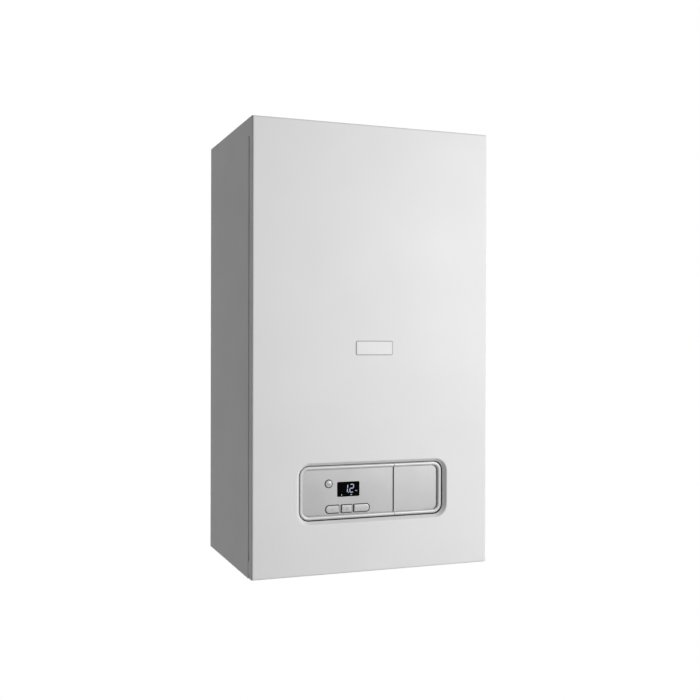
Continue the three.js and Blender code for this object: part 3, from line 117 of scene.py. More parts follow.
def make_world():
    """White to the camera and in reflections, and a soft grey light on the object."""
    world = bpy.data.worlds.new("studio")
    bpy.context.scene.world = world
    world.use_nodes = True
    world.node_tree.nodes.clear()
    add = Nodes(world.node_tree)
    rays = add("ShaderNodeLightPath")
    seen = add.math("MAXIMUM", rays["Is Camera Ray"], rays["Is Transmission Ray"])
    shiny = add.math("MAXIMUM", seen, rays["Is Glossy Ray"])
    light = add("ShaderNodeBackground", {"Color": WHITE, "Strength": AMBIENT})
    white = add("ShaderNodeBackground", {"Color": WHITE})
    mix = add("ShaderNodeMixShader", {0: shiny, 1: light[0], 2: white[0]})
    add("ShaderNodeOutputWorld", {"Surface": mix[0]})


FLOOR_DROP = 0.9  # the boiler hangs this far above the floor
FLOOR_RADIUS = 1.7
FLOOR_FADE = 0.6  # from here outwards the floor pales into the white round it
FLOOR_RIM = 0.05  # the outermost strip is all white
FLOOR_SIDES = 96
FLOOR_TONE = (0.86, 0.86, 0.86, 1)


def make_floor():
    mesh = bpy.data.meshes.new("floor")
    turns = [math.tau * i / FLOOR_SIDES for i in range(FLOOR_SIDES)]
    rim = [(FLOOR_RADIUS * math.cos(t), FLOOR_RADIUS * math.sin(t), -FLOOR_DROP) for t in turns]
    mesh.from_pydata(rim, [], [list(range(FLOOR_SIDES))])
    floor = bpy.data.objects.new("floor", mesh)
    bpy.context.scene.collection.objects.link(floor)
    surface = bpy.data.materials.new("pale_floor")
    surface.use_nodes = True
    surface.node_tree.nodes.clear()
    add = Nodes(surface.node_tree)
    place = add("ShaderNodeTexCoord")
    reach = add("ShaderNodeVectorMath", {0: place["Object"]}, operation="LENGTH")
    fade = add("ShaderNodeMapRange", {"From Min": math.hypot(FLOOR_FADE, FLOOR_DROP),
        "From Max": math.hypot(FLOOR_RADIUS - FLOOR_RIM, FLOOR_DROP), "Value": reach["Value"]},
        interpolation_type="SMOOTHSTEP")
    pale = add("ShaderNodeBsdfDiffuse", {"Color": FLOOR_TONE})
    white = add("ShaderNodeEmission", {"Strength": 1})
    rays = add("ShaderNodeLightPath")
    seen = add.math("MAXIMUM", rays["Is Camera Ray"], rays["Is Glossy Ray"])
    both = add.math("MULTIPLY", seen, fade["Result"])
    mix = add("ShaderNodeMixShader", {0: both, 1: pale[0], 2: white[0]})
    add("ShaderNodeOutputMaterial", {"Surface": mix[0]})
    mesh.materials.append(surface)


make_camera()
make_world()
make_lamp("key", (1.25, -2.1, 0.66), (0, -0.15, 0.37), 0.8, 44)
make_floor()
bpy.context.scene.view_settings.view_transform = "Standard"


# ---- Finishes ------------------------------------------------------------------------

def grey(value, tint=(1, 1, 1)):
    return tuple(value * part for part in tint) + (1,)


MIX_COLOUR_INPUTS = (0, 6, 7)  # the Mix node's sockets when it mixes colours
MIX_COLOUR_OUTPUT = 2
TONE_RANGE = (0.3, 0.7)  # the noise between these makes the whole step of colour
GLOSS_SCALE = 2.3  # the roughness wanders this much faster than the colour
RELIEF = 0.2 * MM


def finish(name, dark, light, roughness, metallic=0.0, scale=40.0, stretch=(1, 1, 1),
           bump=0.0, bump_scale=400.0, coat=0.0, cells=False, specular=0.5):
    """A finish whose colour wanders between two tones, whose roughness wanders between two
    values and whose surface has a fine relief. stretch draws its grain out along an axis."""
    made = bpy.data.materials.new(name)
    made.use_nodes = True
    tree = made.node_tree
    add = Nodes(tree)
    shader = tree.nodes["Principled BSDF"].inputs
    shader["Metallic"].default_value = metallic
    shader["Coat Weight"].default_value = coat
    shader["Specular IOR Level"].default_value = specular
    place = add("ShaderNodeTexCoord")
    grain = add("ShaderNodeMapping", {"Scale": stretch, "Vector": place["Object"]})[0]

    def noise(size, detail):
        return add("ShaderNodeTexNoise", {"Scale": size, "Detail": detail, "Vector": grain})["Fac"]

    if cells:
        tone = add("ShaderNodeTexVoronoi", {"Scale": scale, "Vector": grain})["Color"]
    else:
        tone = noise(scale, 3)
    ramp = add("ShaderNodeMapRange", {"From Min": TONE_RANGE[0], "From Max": TONE_RANGE[1],
        "Value": tone})
    mixed = zip(MIX_COLOUR_INPUTS, (ramp["Result"], dark, light))
    colours = add("ShaderNodeMix", mixed, data_type="RGBA")
    tree.links.new(colours[MIX_COLOUR_OUTPUT], shader["Base Color"])
    gloss = add("ShaderNodeMapRange", {"To Min": roughness[0], "To Max": roughness[1],
        "Value": noise(scale * GLOSS_SCALE, 4)})
    tree.links.new(gloss["Result"], shader["Roughness"])
    if bump:
        relief = add("ShaderNodeBump", {"Strength": bump, "Distance": RELIEF,
            "Height": noise(bump_scale, 2)})
        tree.links.new(relief["Normal"], shader["Normal"])
    return made


WHITE_PAINT = finish("white_paint", grey(0.80, (1, 1, 1.01)), grey(0.83, (1, 1, 1.01)), (0.46,
    0.56), scale=6, bump=0.12, bump_scale=1600, specular=0.3)
ZINC = finish("zinc_sheet", grey(0.53), grey(0.575, (0.98, 1, 1.02)), (0.36, 0.5), 0.85, scale=190,
    cells=True, bump=0.1, bump_scale=300)
STEEL = finish("stainless_steel", grey(0.5), grey(0.62), (0.22, 0.36), 1.0, scale=30, stretch=(1, 1,
    12), bump=0.12, bump_scale=900)
BRIGHT_STEEL = finish("bright_steel", grey(0.58), grey(0.7), (0.18, 0.3), 1.0, scale=120, bump=0.08,
    bump_scale=1500)
CAST = finish("cast_aluminium", grey(0.38), grey(0.54, (1, 1, 1.02)), (0.42, 0.62), 0.8, scale=55,
    bump=0.55, bump_scale=650)
COPPER = finish("copper", (0.56, 0.235, 0.13, 1), (0.78, 0.39, 0.24, 1), (0.2, 0.4), 1.0, scale=26,
    stretch=(1, 1, 0.5), bump=0.08, bump_scale=500)
BRASS = finish("brass", (0.56, 0.4, 0.14, 1), (0.72, 0.55, 0.24, 1), (0.22, 0.38), 1.0, scale=60,
    bump=0.15, bump_scale=900)
BLACK_PLASTIC = finish("black_plastic", grey(0.016), grey(0.026), (0.42, 0.58), scale=50, bump=0.3,
    bump_scale=1800)
GREY_PLASTIC = finish("grey_plastic", grey(0.42), grey(0.5), (0.38, 0.5), scale=40, bump=0.2,
    bump_scale=1500)
FASCIA_GREY = finish("fascia_grey", grey(0.36), grey(0.39, (1, 1, 1.01)), (0.36, 0.42),
    metallic=0.42, scale=18, bump=0.16, bump_scale=2200)
RIM_SILVER = finish("rim_silver", grey(0.56), grey(0.6), (0.36, 0.44), metallic=0.12, scale=25,
    bump=0.05, bump_scale=1200)
KEY_GREY = finish("key_grey", grey(0.44), grey(0.48), (0.32, 0.42), metallic=0.25, scale=60,
    bump=0.12, bump_scale=2000)
PLAQUE_WHITE = finish("plaque_white", grey(0.8), grey(0.83), (0.4, 0.5), scale=30, bump=0.06,
    bump_scale=1500, specular=0.35)
# painted shade: the plaque's frame is grey for the shade on its edge, with little shine
PLAQUE_EDGE_SHADE = finish("plaque_edge_shade", grey(0.4), grey(0.45), (0.6, 0.7), scale=60, specular=0.08)
MARK_GREY = finish("print_grey", grey(0.2), grey(0.26), (0.5, 0.6), scale=200)
GLASS = finish("display_glass", grey(0.0008), grey(0.0015), (0.08, 0.14), scale=30, specular=0.02)
SIGHT_GLASS = finish("sight_glass", (0.02, 0.03, 0.03, 1), (0.03, 0.045, 0.045, 1), (0.03, 0.06),
    scale=30, coat=0.8)
RUBBER = finish("rubber", grey(0.018), grey(0.03), (0.65, 0.85), scale=70, bump=0.4, bump_scale=900)
FIBRE = finish("fibre_gasket", grey(0.2, (1, 0.98, 0.94)), grey(0.3, (1, 0.98, 0.94)), (0.8, 0.95),
    scale=160, bump=0.6, bump_scale=1200)
RED_PAINT = finish("red_enamel", (0.36, 0.014, 0.011, 1), (0.44, 0.022, 0.017, 1), (0.26, 0.4),
    scale=14, bump=0.25, bump_scale=700, coat=0.3)
BOARD = finish("board_green", (0.008, 0.07, 0.03, 1), (0.014, 0.13, 0.05, 1), (0.3, 0.45),
    scale=120, cells=True, bump=0.3, bump_scale=500)
CERAMIC = finish("ceramic", (0.66, 0.62, 0.52, 1), (0.76, 0.72, 0.63, 1), (0.4, 0.55), scale=80,
    bump=0.2, bump_scale=900)
RED_PLASTIC = finish("red_plastic", (0.42, 0.014, 0.01, 1), (0.5, 0.022, 0.014, 1), (0.34, 0.46),
    scale=60, bump=0.15, bump_scale=1200)
BLUE_PLASTIC = finish("blue_plastic", (0.014, 0.08, 0.3, 1), (0.022, 0.11, 0.38, 1), (0.34, 0.46),
    scale=60, bump=0.15, bump_scale=1200)
YELLOW_PLASTIC = finish("yellow_plastic", (0.55, 0.36, 0.03, 1), (0.65, 0.44, 0.05, 1), (0.4, 0.5),
    scale=60, bump=0.15, bump_scale=1200)


def lit_segments():
    """The bluish white light of the display's figures, a little uneven along each bar."""
    made = finish("lit_segments", (0.06, 0.07, 0.085, 1), (0.08, 0.09, 0.11, 1), (0.3, 0.4),
        scale=300, specular=0.1)
    shader = made.node_tree.nodes["Principled BSDF"]
    shader.inputs["Emission Color"].default_value = (0.66, 0.78, 1, 1)
    shader.inputs["Emission Strength"].default_value = 0.65
    return made


LIT = lit_segments()


# ---- Outlines ------------------------------------------------------------------------

def rectangle(a0, a1, b0, b1, corner, steps=6, stops=()):
    """A function from an inset to the points of a rounded rectangle. stops adds points on
    its two upright sides, each at a share of the straight stretch from low to high."""
    def outline(inset=0.0):
        r = max(corner - inset, 0.05)
        lows, highs = (a0 + inset + r, b0 + inset + r), (a1 - inset - r, b1 - inset - r)
        points = []
        for quarter, (a, b) in enumerate(((highs[0], lows[1]), highs, (lows[0], highs[1]), lows)):
            for step in range(steps + 1):
                angle = math.radians(90 * (quarter - 1 + step / steps))
                points.append((a + r * math.cos(angle), b + r * math.sin(angle)))
            rise = highs[1] - lows[1]
            if quarter == 0:
                points += [(a1 - inset, lows[1] + rise * share) for share in stops]
            if quarter == 2:
                points += [(a0 + inset, lows[1] + rise * share) for share in reversed(stops)]
        return points
    return outline


def disc(a, b, radius, sides=40):
    def outline(inset=0.0):
        r = radius - inset
        return [(a + r * math.cos(math.tau * i / sides),
            b + r * math.sin(math.tau * i / sides)) for i in range(sides)]
    return outline


def polygon(a, b, radius, sides, turn=0.0):
    """A regular polygon, such as a nut's, measured to its corners."""
    def outline(inset=0.0):
        r = radius - inset / math.cos(math.pi / sides)
        return [(a + r * math.cos(turn + math.tau * i / sides),
            b + r * math.sin(turn + math.tau * i / sides)) for i in range(sides)]
    return outline


def lobes(a, b, radius, count, depth, turn=0.0, sides=72):
    """A round outline whose edge swells in lobes, as a knob's grip does."""
    def outline(inset=0.0):
        points = []
        for i in range(sides):
            angle = math.tau * i / sides
            r = radius - inset - depth * (0.5 - 0.5 * math.cos(count * angle))
            points.append((a + r * math.cos(angle + turn), b + r * math.sin(angle + turn)))
        return points
    return outline


def eased(points, radius, steps=4):
    """An open line of two-dimensional points with each inner corner turned into an arc."""
    made = [points[0]]
    for before, corner, after in zip(points, points[1:], points[2:]):
        corner, back, ahead = Vector(corner), Vector(before), Vector(after)
        u, v = back - corner, ahead - corner
        bend = u.angle(v, math.pi)
        if math.pi - bend < 0.02:
            made.append(tuple(corner))
            continue
        reach = min(radius / math.tan(bend / 2), u.length * 0.45, v.length * 0.45)
        start, end = corner + u.normalized() * reach, corner + v.normalized() * reach
        for step in range(steps + 1):
            t = step / steps
            made.append(tuple((1 - t) ** 2 * start + 2 * t * (1 - t) * corner + t * t * end))
    made.append(points[-1])
    return made


# ---- Building a piece ----------------------------------------------------------------

AXES = {"x": (1, 2, 0), "y": (0, 2, 1), "z": (0, 1, 2)}


def spot(axis, a, b, height):
    """A point from its two coordinates across an axis and its height along it."""
    point = [0.0, 0.0, 0.0]
    first, second, along = AXES[axis]
    point[first], point[second], point[along] = a, b, height
    return Vector(point)


class Work:
    """Closed shells gathered into one mesh, each with its own finish."""

    def __init__(self):
        self.mesh = bmesh.new()
        self.finishes = []

    def _index(self, surface):
        if surface not in self.finishes:
            self.finishes.append(surface)
        return self.finishes.index(surface)

    def shell(self, rings, surface, closed=False):
        """A skin through rings of equally many points. Its ends are filled, or joined."""
        rows = [[self.mesh.verts.new(point) for point in ring] for ring in rings]
        faces = []
        pairs = list(zip(rows, rows[1:])) + ([(rows[-1], rows[0])] if closed else [])
        for low, high in pairs:
            for i in range(len(low)):
                j = (i + 1) % len(low)
                faces.append(self.mesh.faces.new((low[i], low[j], high[j], high[i])))
        if not closed:
            faces.append(self.mesh.faces.new(list(reversed(rows[0]))))
            faces.append(self.mesh.faces.new(rows[-1]))
        volume = 0.0
        for face in faces:
            first, *rest = (corner.co for corner in face.verts)
            volume += sum(first.dot(b.cross(c)) for b, c in zip(rest, rest[1:]))
        if volume < 0:
            bmesh.ops.reverse_faces(self.mesh, faces=faces)
        for face in faces:
            face.material_index = self._index(surface)
            face.smooth = True

    def prism(self, axis, outline, low, high, surface, edge=0.6, steps=3):
        """An outline pushed along an axis, with both its rims eased."""
        low, high = sorted((low, high))
        edge = min(edge, (high - low) * 0.45)
        rings = []
        for base, way in ((low, 1), (high, -1)):
            part = []
            for step in range(steps + 1):
                angle = math.radians(90 * step / steps)
                inset, rise = edge * (1 - math.sin(angle)), edge * (1 - math.cos(angle))
                part.append([spot(axis, a, b, base + way * rise) for a, b in outline(inset)])
            rings += part if way > 0 else reversed(part)
        self.shell(rings, surface)

    def block(self, low, high, surface, edge=0.8, corner=None):
        """A block with every edge eased; corner rounds its upright edges further."""
        corner = edge if corner is None else corner
        self.prism("z", rectangle(low[0], high[0], low[1], high[1], max(corner, edge), 3), low[2],
            high[2], surface, edge)

    def box(self, x0, x1, y0, y1, z0, z1, surface, edge=0.8, corner=None):
        self.block((x0, y0, z0), (x1, y1, z1), surface, edge, corner)

    def hollow(self, axis, outer, inner, low, high, surface, edge=0.5):
        """A prism with a hole through it. The two outlines have equally many points."""
        low, high = sorted((low, high))
        edge = min(edge, (high - low) * 0.45)
        rings = []
        for outline, inset in ((outer, edge), (outer, 0)):
            height = low if inset else low + edge
            rings.append([spot(axis, a, b, height) for a, b in outline(inset)])
        for outline, inset in ((outer, 0), (outer, edge), (inner, -edge), (inner, 0)):
            height = high if inset else high - edge
            rings.append([spot(axis, a, b, height) for a, b in outline(inset)])
        for outline, inset in ((inner, 0), (inner, -edge)):
            height = low if inset else low + edge
            rings.append([spot(axis, a, b, height) for a, b in outline(inset)])
        self.shell(rings, surface, closed=True)

    def turned(self, axis, a, b, profile, surface, ease=0.6, sides=48, closed=False):
        """A profile of (radius, height) points turned about an axis."""
        line = list(profile)
        if closed:
            line = eased([line[-1]] + line + [line[0]], ease)[1:-1]
        else:
            line = eased(line, ease)
        rings = [[spot(axis, a + r * math.cos(math.tau * i / sides),
            b + r * math.sin(math.tau * i / sides), height) for i in range(sides)] for r,
            height in ((max(r, 0.01), h) for r, h in line)]
        self.shell(rings, surface, closed=closed)

    def nut(self, axis, a, b, radius, low, high, surface, turn=0.0):
        """A hexagon nut with the rounded corners of a real one."""
        low, high = sorted((low, high))
        self.prism(axis, polygon(a, b, radius, 6, turn), low, high, surface, 0.7, 2)
        self.turned(axis, a, b, [(radius * 0.8, low - 0.25), (radius * 0.85, low + 0.5),
            (radius * 0.85, high - 0.5), (radius * 0.8, high + 0.25)], surface, 0.1, 32)

    def tube(self, corners, radius, surface, bend, wall=1.0, sides=28, steps=8):
        """A pipe along a route with round bends, open at both mouths."""
        path, ways = bent_route(corners, bend, steps)
        side = ways[0].orthogonal().normalized()
        frames = []
        for i, way in enumerate(ways):
            if i:
                side = ways[i - 1].rotation_difference(way) @ side
                side = (side - way * side.dot(way)).normalized()
            frames.append((path[i], way, side.copy()))

        def ring(at, size, shift=0.0):
            place, way, across = at
            up = way.cross(across)
            return [place + way * shift + (across * math.cos(math.tau * k / sides)
                    + up * math.sin(math.tau * k / sides)) * size for k in range(sides)]

        depth = 6
        bore = radius - wall
        rim = 0.2
        rings = [ring(frames[0], bore, depth), ring(frames[0], bore), ring(frames[0], radius - rim),
            ring(frames[0], radius, rim)]
        rings += [ring(at, radius) for at in frames[1:-1]]
        rings += [ring(frames[-1], radius, -rim), ring(frames[-1], radius - rim), ring(frames[-1],
            bore), ring(frames[-1], bore, -depth)]
        self.shell(rings, surface)

    def take(self, mesh, surface=None, place=Matrix.Identity(4)):
        """Adds a finished mesh, moved to its place. Its own finishes stay without a surface."""
        known = len(self.mesh.faces)
        copied = mesh.copy()
        copied.transform(place)
        if place.determinant() < 0:
            copied.flip_normals()
        self.mesh.from_mesh(copied)
        self.mesh.faces.ensure_lookup_table()
        owned = [surface] if surface else list(mesh.materials)
        for face in list(self.mesh.faces)[known:]:
            which = 0 if surface else face.material_index
            face.material_index = self._index(owned[which])
            face.smooth = True
        bpy.data.meshes.remove(copied)

    def plain(self, name):
        """The gathered shells as a mesh, for another piece to repeat."""
        mesh = bpy.data.meshes.new(name)
        self.mesh.to_mesh(mesh)
        self.mesh.free()
        for surface in self.finishes:
            mesh.materials.append(surface)
        return mesh

    def piece(self, name, body, slot, *nodes, crease=32.0, weighted=True):
        """Ends the piece: it rides on a body and stands for CAD nodes."""
        mesh = self.plain(name)
        mesh.transform(TO_FRAME)
        made = bpy.data.objects.new(name, mesh)
        bpy.context.scene.collection.objects.link(made)
        settle(made, crease, weighted)
        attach(made, body)
        if nodes:
            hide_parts(*nodes)
        return made


def settle(made, crease=32.0, weighted=True):
    """Marks the creases sharp and keeps large flat faces flat in the shading."""
    mesh = made.data
    lines = bmesh.new()
    lines.from_mesh(mesh)
    for edge in lines.edges:
        if len(edge.link_faces) == 2:
            edge.smooth = edge.calc_face_angle(0) < math.radians(crease)
    lines.to_mesh(mesh)
    lines.free()
    if weighted:
        keep = made.modifiers.new("flat_faces", "WEIGHTED_NORMAL")
        keep.keep_sharp = True
        keep.weight = 90


def bent_route(corners, bend, steps):
    """The stations and directions of a route of straight runs and round bends."""
    path = [Vector(corner) for corner in corners]
    points, ways = [path[0]], [(path[1] - path[0]).normalized()]
    for i in range(1, len(path) - 1):
        before = (path[i] - path[i - 1]).normalized()
        after = (path[i + 1] - path[i]).normalized()
        angle = before.angle(after)
        axis = before.cross(after).normalized()
        setback = bend * math.tan(angle / 2)
        start = path[i] - before * setback
        centre = start + axis.cross(before) * bend
        for step in range(steps + 1):
            turn = Matrix.Rotation(angle * step / steps, 3, axis)
            points.append(centre + turn @ (start - centre))
            ways.append(turn @ before)
    points.append(path[-1])
    ways.append((path[-1] - path[-2]).normalized())
    return points, ways


class Place:
    """A CAD node's box: x0 to x1, y0 to y1, z0 to z1, and its middle in x, y and z."""

    def __init__(self, node):
        low, high = (TO_FRAME.inverted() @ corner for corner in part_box(node))
        self.x0, self.y0, self.z0 = low
        self.x1, self.y1, self.z1 = high
        self.x, self.y, self.z = (low + high) / 2


# ---- What repeats, in Geometry Nodes --------------------------------------------------

def socket_of(tree, name):
    return next(item.identifier for item in tree.interface.items_tree
                if item.name == name and item.in_out == "INPUT")


def new_tree(name, inputs):
    """A node tree with one geometry output and the named inputs."""
    tree = bpy.data.node_groups.new(name, "GeometryNodeTree")
    tree.interface.new_socket("Geometry", in_out="OUTPUT", socket_type="NodeSocketGeometry")
    for label, kind in inputs:
        tree.interface.new_socket(label, in_out="INPUT", socket_type="NodeSocket" + kind)
    add = Nodes(tree)
    return tree, add, add("NodeGroupInput")


def end_tree(add, given, geometry):
    """Every tree ends in real copies that carry the given finish."""
    real = add("GeometryNodeRealizeInstances", {"Geometry": geometry})
    painted = add("GeometryNodeSetMaterial", {"Geometry": real["Geometry"],
        "Material": given["Finish"]})
    add("NodeGroupOutput", {"Geometry": painted["Geometry"]})


def copies_tree(name, points_of, inputs):
    """A tree that puts a copy of the Part object on each point."""
    tree, add, given = new_tree(name, [("Part", "Object"), ("Finish", "Material")] + inputs)
    points, turn = points_of(add, given)
    part = add("GeometryNodeObjectInfo", {"Object": given["Part"]})
    placed = {"Points": points, "Instance": part["Geometry"]}
    if turn is not None:
        placed["Rotation"] = turn
    end_tree(add, given, add("GeometryNodeInstanceOnPoints", placed)["Instances"])
    return tree


def ring_points(add, given):
    """Points on a circle about Z, each turned to face out from the middle."""
    circle = add("GeometryNodeMeshCircle", {"Vertices": given["Count"], "Radius": given["Radius"]})
    split = add("ShaderNodeSeparateXYZ", {0: add("GeometryNodeInputPosition")[0]})
    angle = add.math("ARCTAN2", split["Y"], split["X"])
    return circle["Mesh"], add("ShaderNodeCombineXYZ", {"Z": angle})[0]


def row_points(add, given):
    """Points on a line from the start, one step apart."""
    line = add("GeometryNodeMeshLine", {"Count": given["Count"], "Offset": given["Step"],
        "Start Location": given["Start"]})
    return line["Mesh"], None


def shell_points(add, given):
    """Points in rings up a cylinder about Z, every second ring turned by half a step."""
    count, radius = given["Count"], given["Radius"]
    body = add("GeometryNodeMeshGrid", {"Vertices X": given["Rings"], "Vertices Y": count})
    index = add("GeometryNodeInputIndex")[0]
    ring = add.math("FLOOR", add.math("DIVIDE", index, count))
    along = add.math("SUBTRACT", index, add.math("MULTIPLY", ring, count))
    half = add.math("MULTIPLY", add.math("MODULO", ring, 2), 0.5)
    share = add.math("DIVIDE", add.math("ADD", along, half), count)
    angle = add.math("MULTIPLY", share, math.tau)
    place = add("ShaderNodeCombineXYZ", {"X": add.math("MULTIPLY", add.math("COSINE", angle),
        radius), "Y": add.math("MULTIPLY", add.math("SINE", angle), radius),
        "Z": add.math("MULTIPLY", ring, given["Pitch"])})
    moved = add("GeometryNodeSetPosition", {"Geometry": body["Mesh"], "Position": place[0]})
    points = add("GeometryNodeMeshToPoints", {"Mesh": moved["Geometry"]})
    add("GeometryNodeCaptureAttribute")
    caught = add.tree.nodes[-1]
    caught.capture_items.new("FLOAT", "Angle")
    add.tree.links.new(points["Points"], caught.inputs["Geometry"])
    add.tree.links.new(angle, caught.inputs["Angle"])
    turn = add("ShaderNodeCombineXYZ", {"Z": caught.outputs["Angle"]})
    return caught.outputs["Geometry"], turn[0]


RING = copies_tree("copies_in_a_ring", ring_points, [("Count", "Int"), ("Radius", "Float")])
ROW = copies_tree("copies_in_a_row", row_points, [("Count", "Int"), ("Start", "Vector"), ("Step",
    "Vector")])
SHELL = copies_tree("copies_round_a_drum", shell_points, [("Count", "Int"), ("Rings", "Int"),
    ("Radius", "Float"), ("Pitch", "Float")])


RIB_STEPS = 8  # stations along one rib
HOSE_SIDES = 20


def ribbed_hose_tree():
    """A hose along a curve whose skin swells into ribs, with closed ends."""
    tree, add, given = new_tree("ribbed_hose", [("Route", "Object"), ("Finish", "Material"),
        ("Radius", "Float"), ("Rib", "Float"), ("Pitch", "Float")])
    route = add("GeometryNodeObjectInfo", {"Object": given["Route"]})
    fine = add("GeometryNodeResampleCurve", {"Curve": route["Geometry"],
        "Length": add.math("DIVIDE", given["Pitch"], RIB_STEPS)}, mode="LENGTH")
    along = add("GeometryNodeSplineParameter")["Length"]
    phase = add.math("MULTIPLY", add.math("DIVIDE", along, given["Pitch"]), math.tau)
    swell = add.math("MULTIPLY_ADD", add.math("COSINE", phase), given["Rib"], given["Radius"])
    sized = add("GeometryNodeSetCurveRadius", {"Curve": fine["Curve"], "Radius": swell})
    section = add("GeometryNodeCurvePrimitiveCircle", {"Resolution": HOSE_SIDES, "Radius": 1})
    skin = add("GeometryNodeCurveToMesh", {"Fill Caps": True, "Curve": sized["Curve"],
        "Profile Curve": section["Curve"]})
    inputs = tree.nodes[-1].inputs
    if "Scale" in inputs:
        tree.links.new(add("GeometryNodeInputRadius")[0], inputs["Scale"])
    end_tree(add, given, skin["Mesh"])
    return tree


HOSE = ribbed_hose_tree()


def grown(tree, **values):
    """The mesh that a tree makes with the given input values."""
    holder = bpy.data.objects.new("grown", bpy.data.meshes.new("grown"))
    bpy.context.scene.collection.objects.link(holder)
    growth = holder.modifiers.new("growth", "NODES")
    growth.node_group = tree
    for label, value in values.items():
        growth[socket_of(tree, label)] = value
    bpy.context.view_layer.update()
    seen = holder.evaluated_get(bpy.context.evaluated_depsgraph_get())
    mesh = bpy.data.meshes.new_from_object(seen)
    bpy.data.objects.remove(holder)
    return mesh


def helper(data):
    """An object that only hands its shape to a tree."""
    made = bpy.data.objects.new("helper", data)
    bpy.context.scene.collection.objects.link(made)
    return made


def copies(tree, part, surface, **values):
    """Copies of a Work's shape made by a tree, as one mesh."""
    source = helper(part.plain("part"))
    made = grown(tree, Part=source, Finish=surface, **values)
    bpy.data.objects.remove(source)
    return made


NEAR_AXIS = 0.01


def spun(part, surface, count):
    """Copies of a Work's shape turned about its own Z axis."""
    return copies(RING, part, surface, Count=count, Radius=NEAR_AXIS)


STAND = {"x": Matrix.Rotation(math.radians(90), 4, "Y"), "z": Matrix.Identity(4),
    "y": Matrix.Rotation(math.radians(-90), 4, "X")}


def stood(axis, place, turn=0.0):
    """Moves a shape that was made about Z so that it stands along an axis at a place."""
    return Matrix.Translation(place) @ STAND[axis] @ Matrix.Rotation(turn, 4, "Z")


def carved(work, tools, edge=0.0, operation="DIFFERENCE"):
    """The work's mesh with tools cut out of it, or joined to it, and sharp rims eased."""
    body = helper(work.plain("uncut"))
    cutters = [helper(tool.plain("tool")) for tool in tools]
    for cutter in cutters:
        cut = body.modifiers.new("cut", "BOOLEAN")
        cut.operation = operation
        cut.solver = "EXACT"
        cut.object = cutter
    if edge:
        ease = body.modifiers.new("ease", "BEVEL")
        ease.width = edge
        ease.segments = 2
        ease.limit_method = "ANGLE"
        ease.angle_limit = math.radians(55)
    bpy.context.view_layer.update()
    seen = body.evaluated_get(bpy.context.evaluated_depsgraph_get())
    mesh = bpy.data.meshes.new_from_object(seen)
    for made in cutters + [body]:
        bpy.data.objects.remove(made)
    return mesh


# ---- Casing --------------------------------------------------------------------------

SHEET = 1.2
FIT = 0.3
PANEL_RETURN = 18
PANEL_EDGE = 3  # rounding of the front panel's edge
PANEL_CORNER = 2.4
PANEL_LIP = 4
SEAM_GAP = 6  # the step starts behind its rounded bend
SEAM_STEP = 1.5
SEAM_DROP = 29.5
NOTCH = {"top": 43, "tip": 34, "foot": 28, "depth": 3}
JOGGLE = 5.5
FLANGE = 13.5
EAR = 10  # square corners close the folds at the top
FOOT_GAP = 2.6  # the seam is narrower below the notch
WALL_FOLD = 19

PANEL = Place("front_panel")
FRONT_Y = PANEL.y0
RETURN_Y = FRONT_Y + PANEL_RETURN
SEAM_Y = RETURN_Y + SEAM_GAP
CASE_SIDE = PANEL.x1


def folded_sheet(work, line, low, high, surface, bend=1.8, thickness=SHEET):
    """A folded sheet: the line of its outer side seen from above, pushed up Z."""
    def inner_line():
        points = [Vector(p) for p in line]
        ways = [(b - a).normalized() for a, b in zip(points, points[1:])]
        rights = [Vector((way.y, -way.x)) for way in ways]
        made = [points[0] + rights[0] * thickness]
        for i in range(1, len(points) - 1):
            half = (rights[i - 1] + rights[i]).normalized()
            made.append(points[i] + half * thickness / half.dot(rights[i]))
        made.append(points[-1] + rights[-1] * thickness)
        return [tuple(p) for p in made]

    outer = eased([tuple(p) for p in line], bend, 5)
    inner = eased(inner_line(), max(bend - thickness, 0.3), 5)
    rim = outer + list(reversed(inner))
    work.shell([[Vector((x, y, z)) for x, y in rim] for z in (low, high)], surface)


def side_panel(name, hand):
    """The side sheet, folded on the wall and stepped in where the front panel covers it."""
    def line(*points):
        if hand > 0:
            return list(points)
        return [(-x, y) for x, y in reversed(points)]

    at = Place(name)
    step_x = CASE_SIDE - JOGGLE
    flange_y = FRONT_Y + SHEET + 4
    floor = 6.5
    back = ((CASE_SIDE - WALL_FOLD, 0), (CASE_SIDE, 0))
    seam_top = at.z1 - SEAM_DROP
    parts = [Work(), Work(), Work()]
    folded_sheet(parts[0], line(*back, (CASE_SIDE, SEAM_Y), (step_x, SEAM_Y), (step_x, flange_y),
        (step_x - FLANGE, flange_y)), floor, seam_top, WHITE_PAINT)
    folded_sheet(parts[1], line(*back, (CASE_SIDE, SEAM_Y)), at.z0, floor, WHITE_PAINT)
    folded_sheet(parts[2], line(*back, (CASE_SIDE, RETURN_Y + FIT)), seam_top, at.z1, WHITE_PAINT)
    work = Work()
    work.take(carved(parts[0], parts[1:], operation="UNION"))
    work.piece(name + "_sheet", "root", "white_paint", name)


RECESS_CORNER = 22
RECESS_DEPTH = 7
RECESS_SLOPE = 4.8
RECESS_ROUNDING = 2.4
WINDOW_GAP = 1.2
CORNER_STEPS = 12

FASCIA = Place("fascia")
COVER = Place("blanking_cover")
RECESS_HALF = COVER.x1 + WINDOW_GAP + RECESS_SLOPE
RECESS_LOW = FASCIA.z0 - WINDOW_GAP - RECESS_SLOPE
RECESS_HIGH = FASCIA.z1 + WINDOW_GAP + RECESS_SLOPE


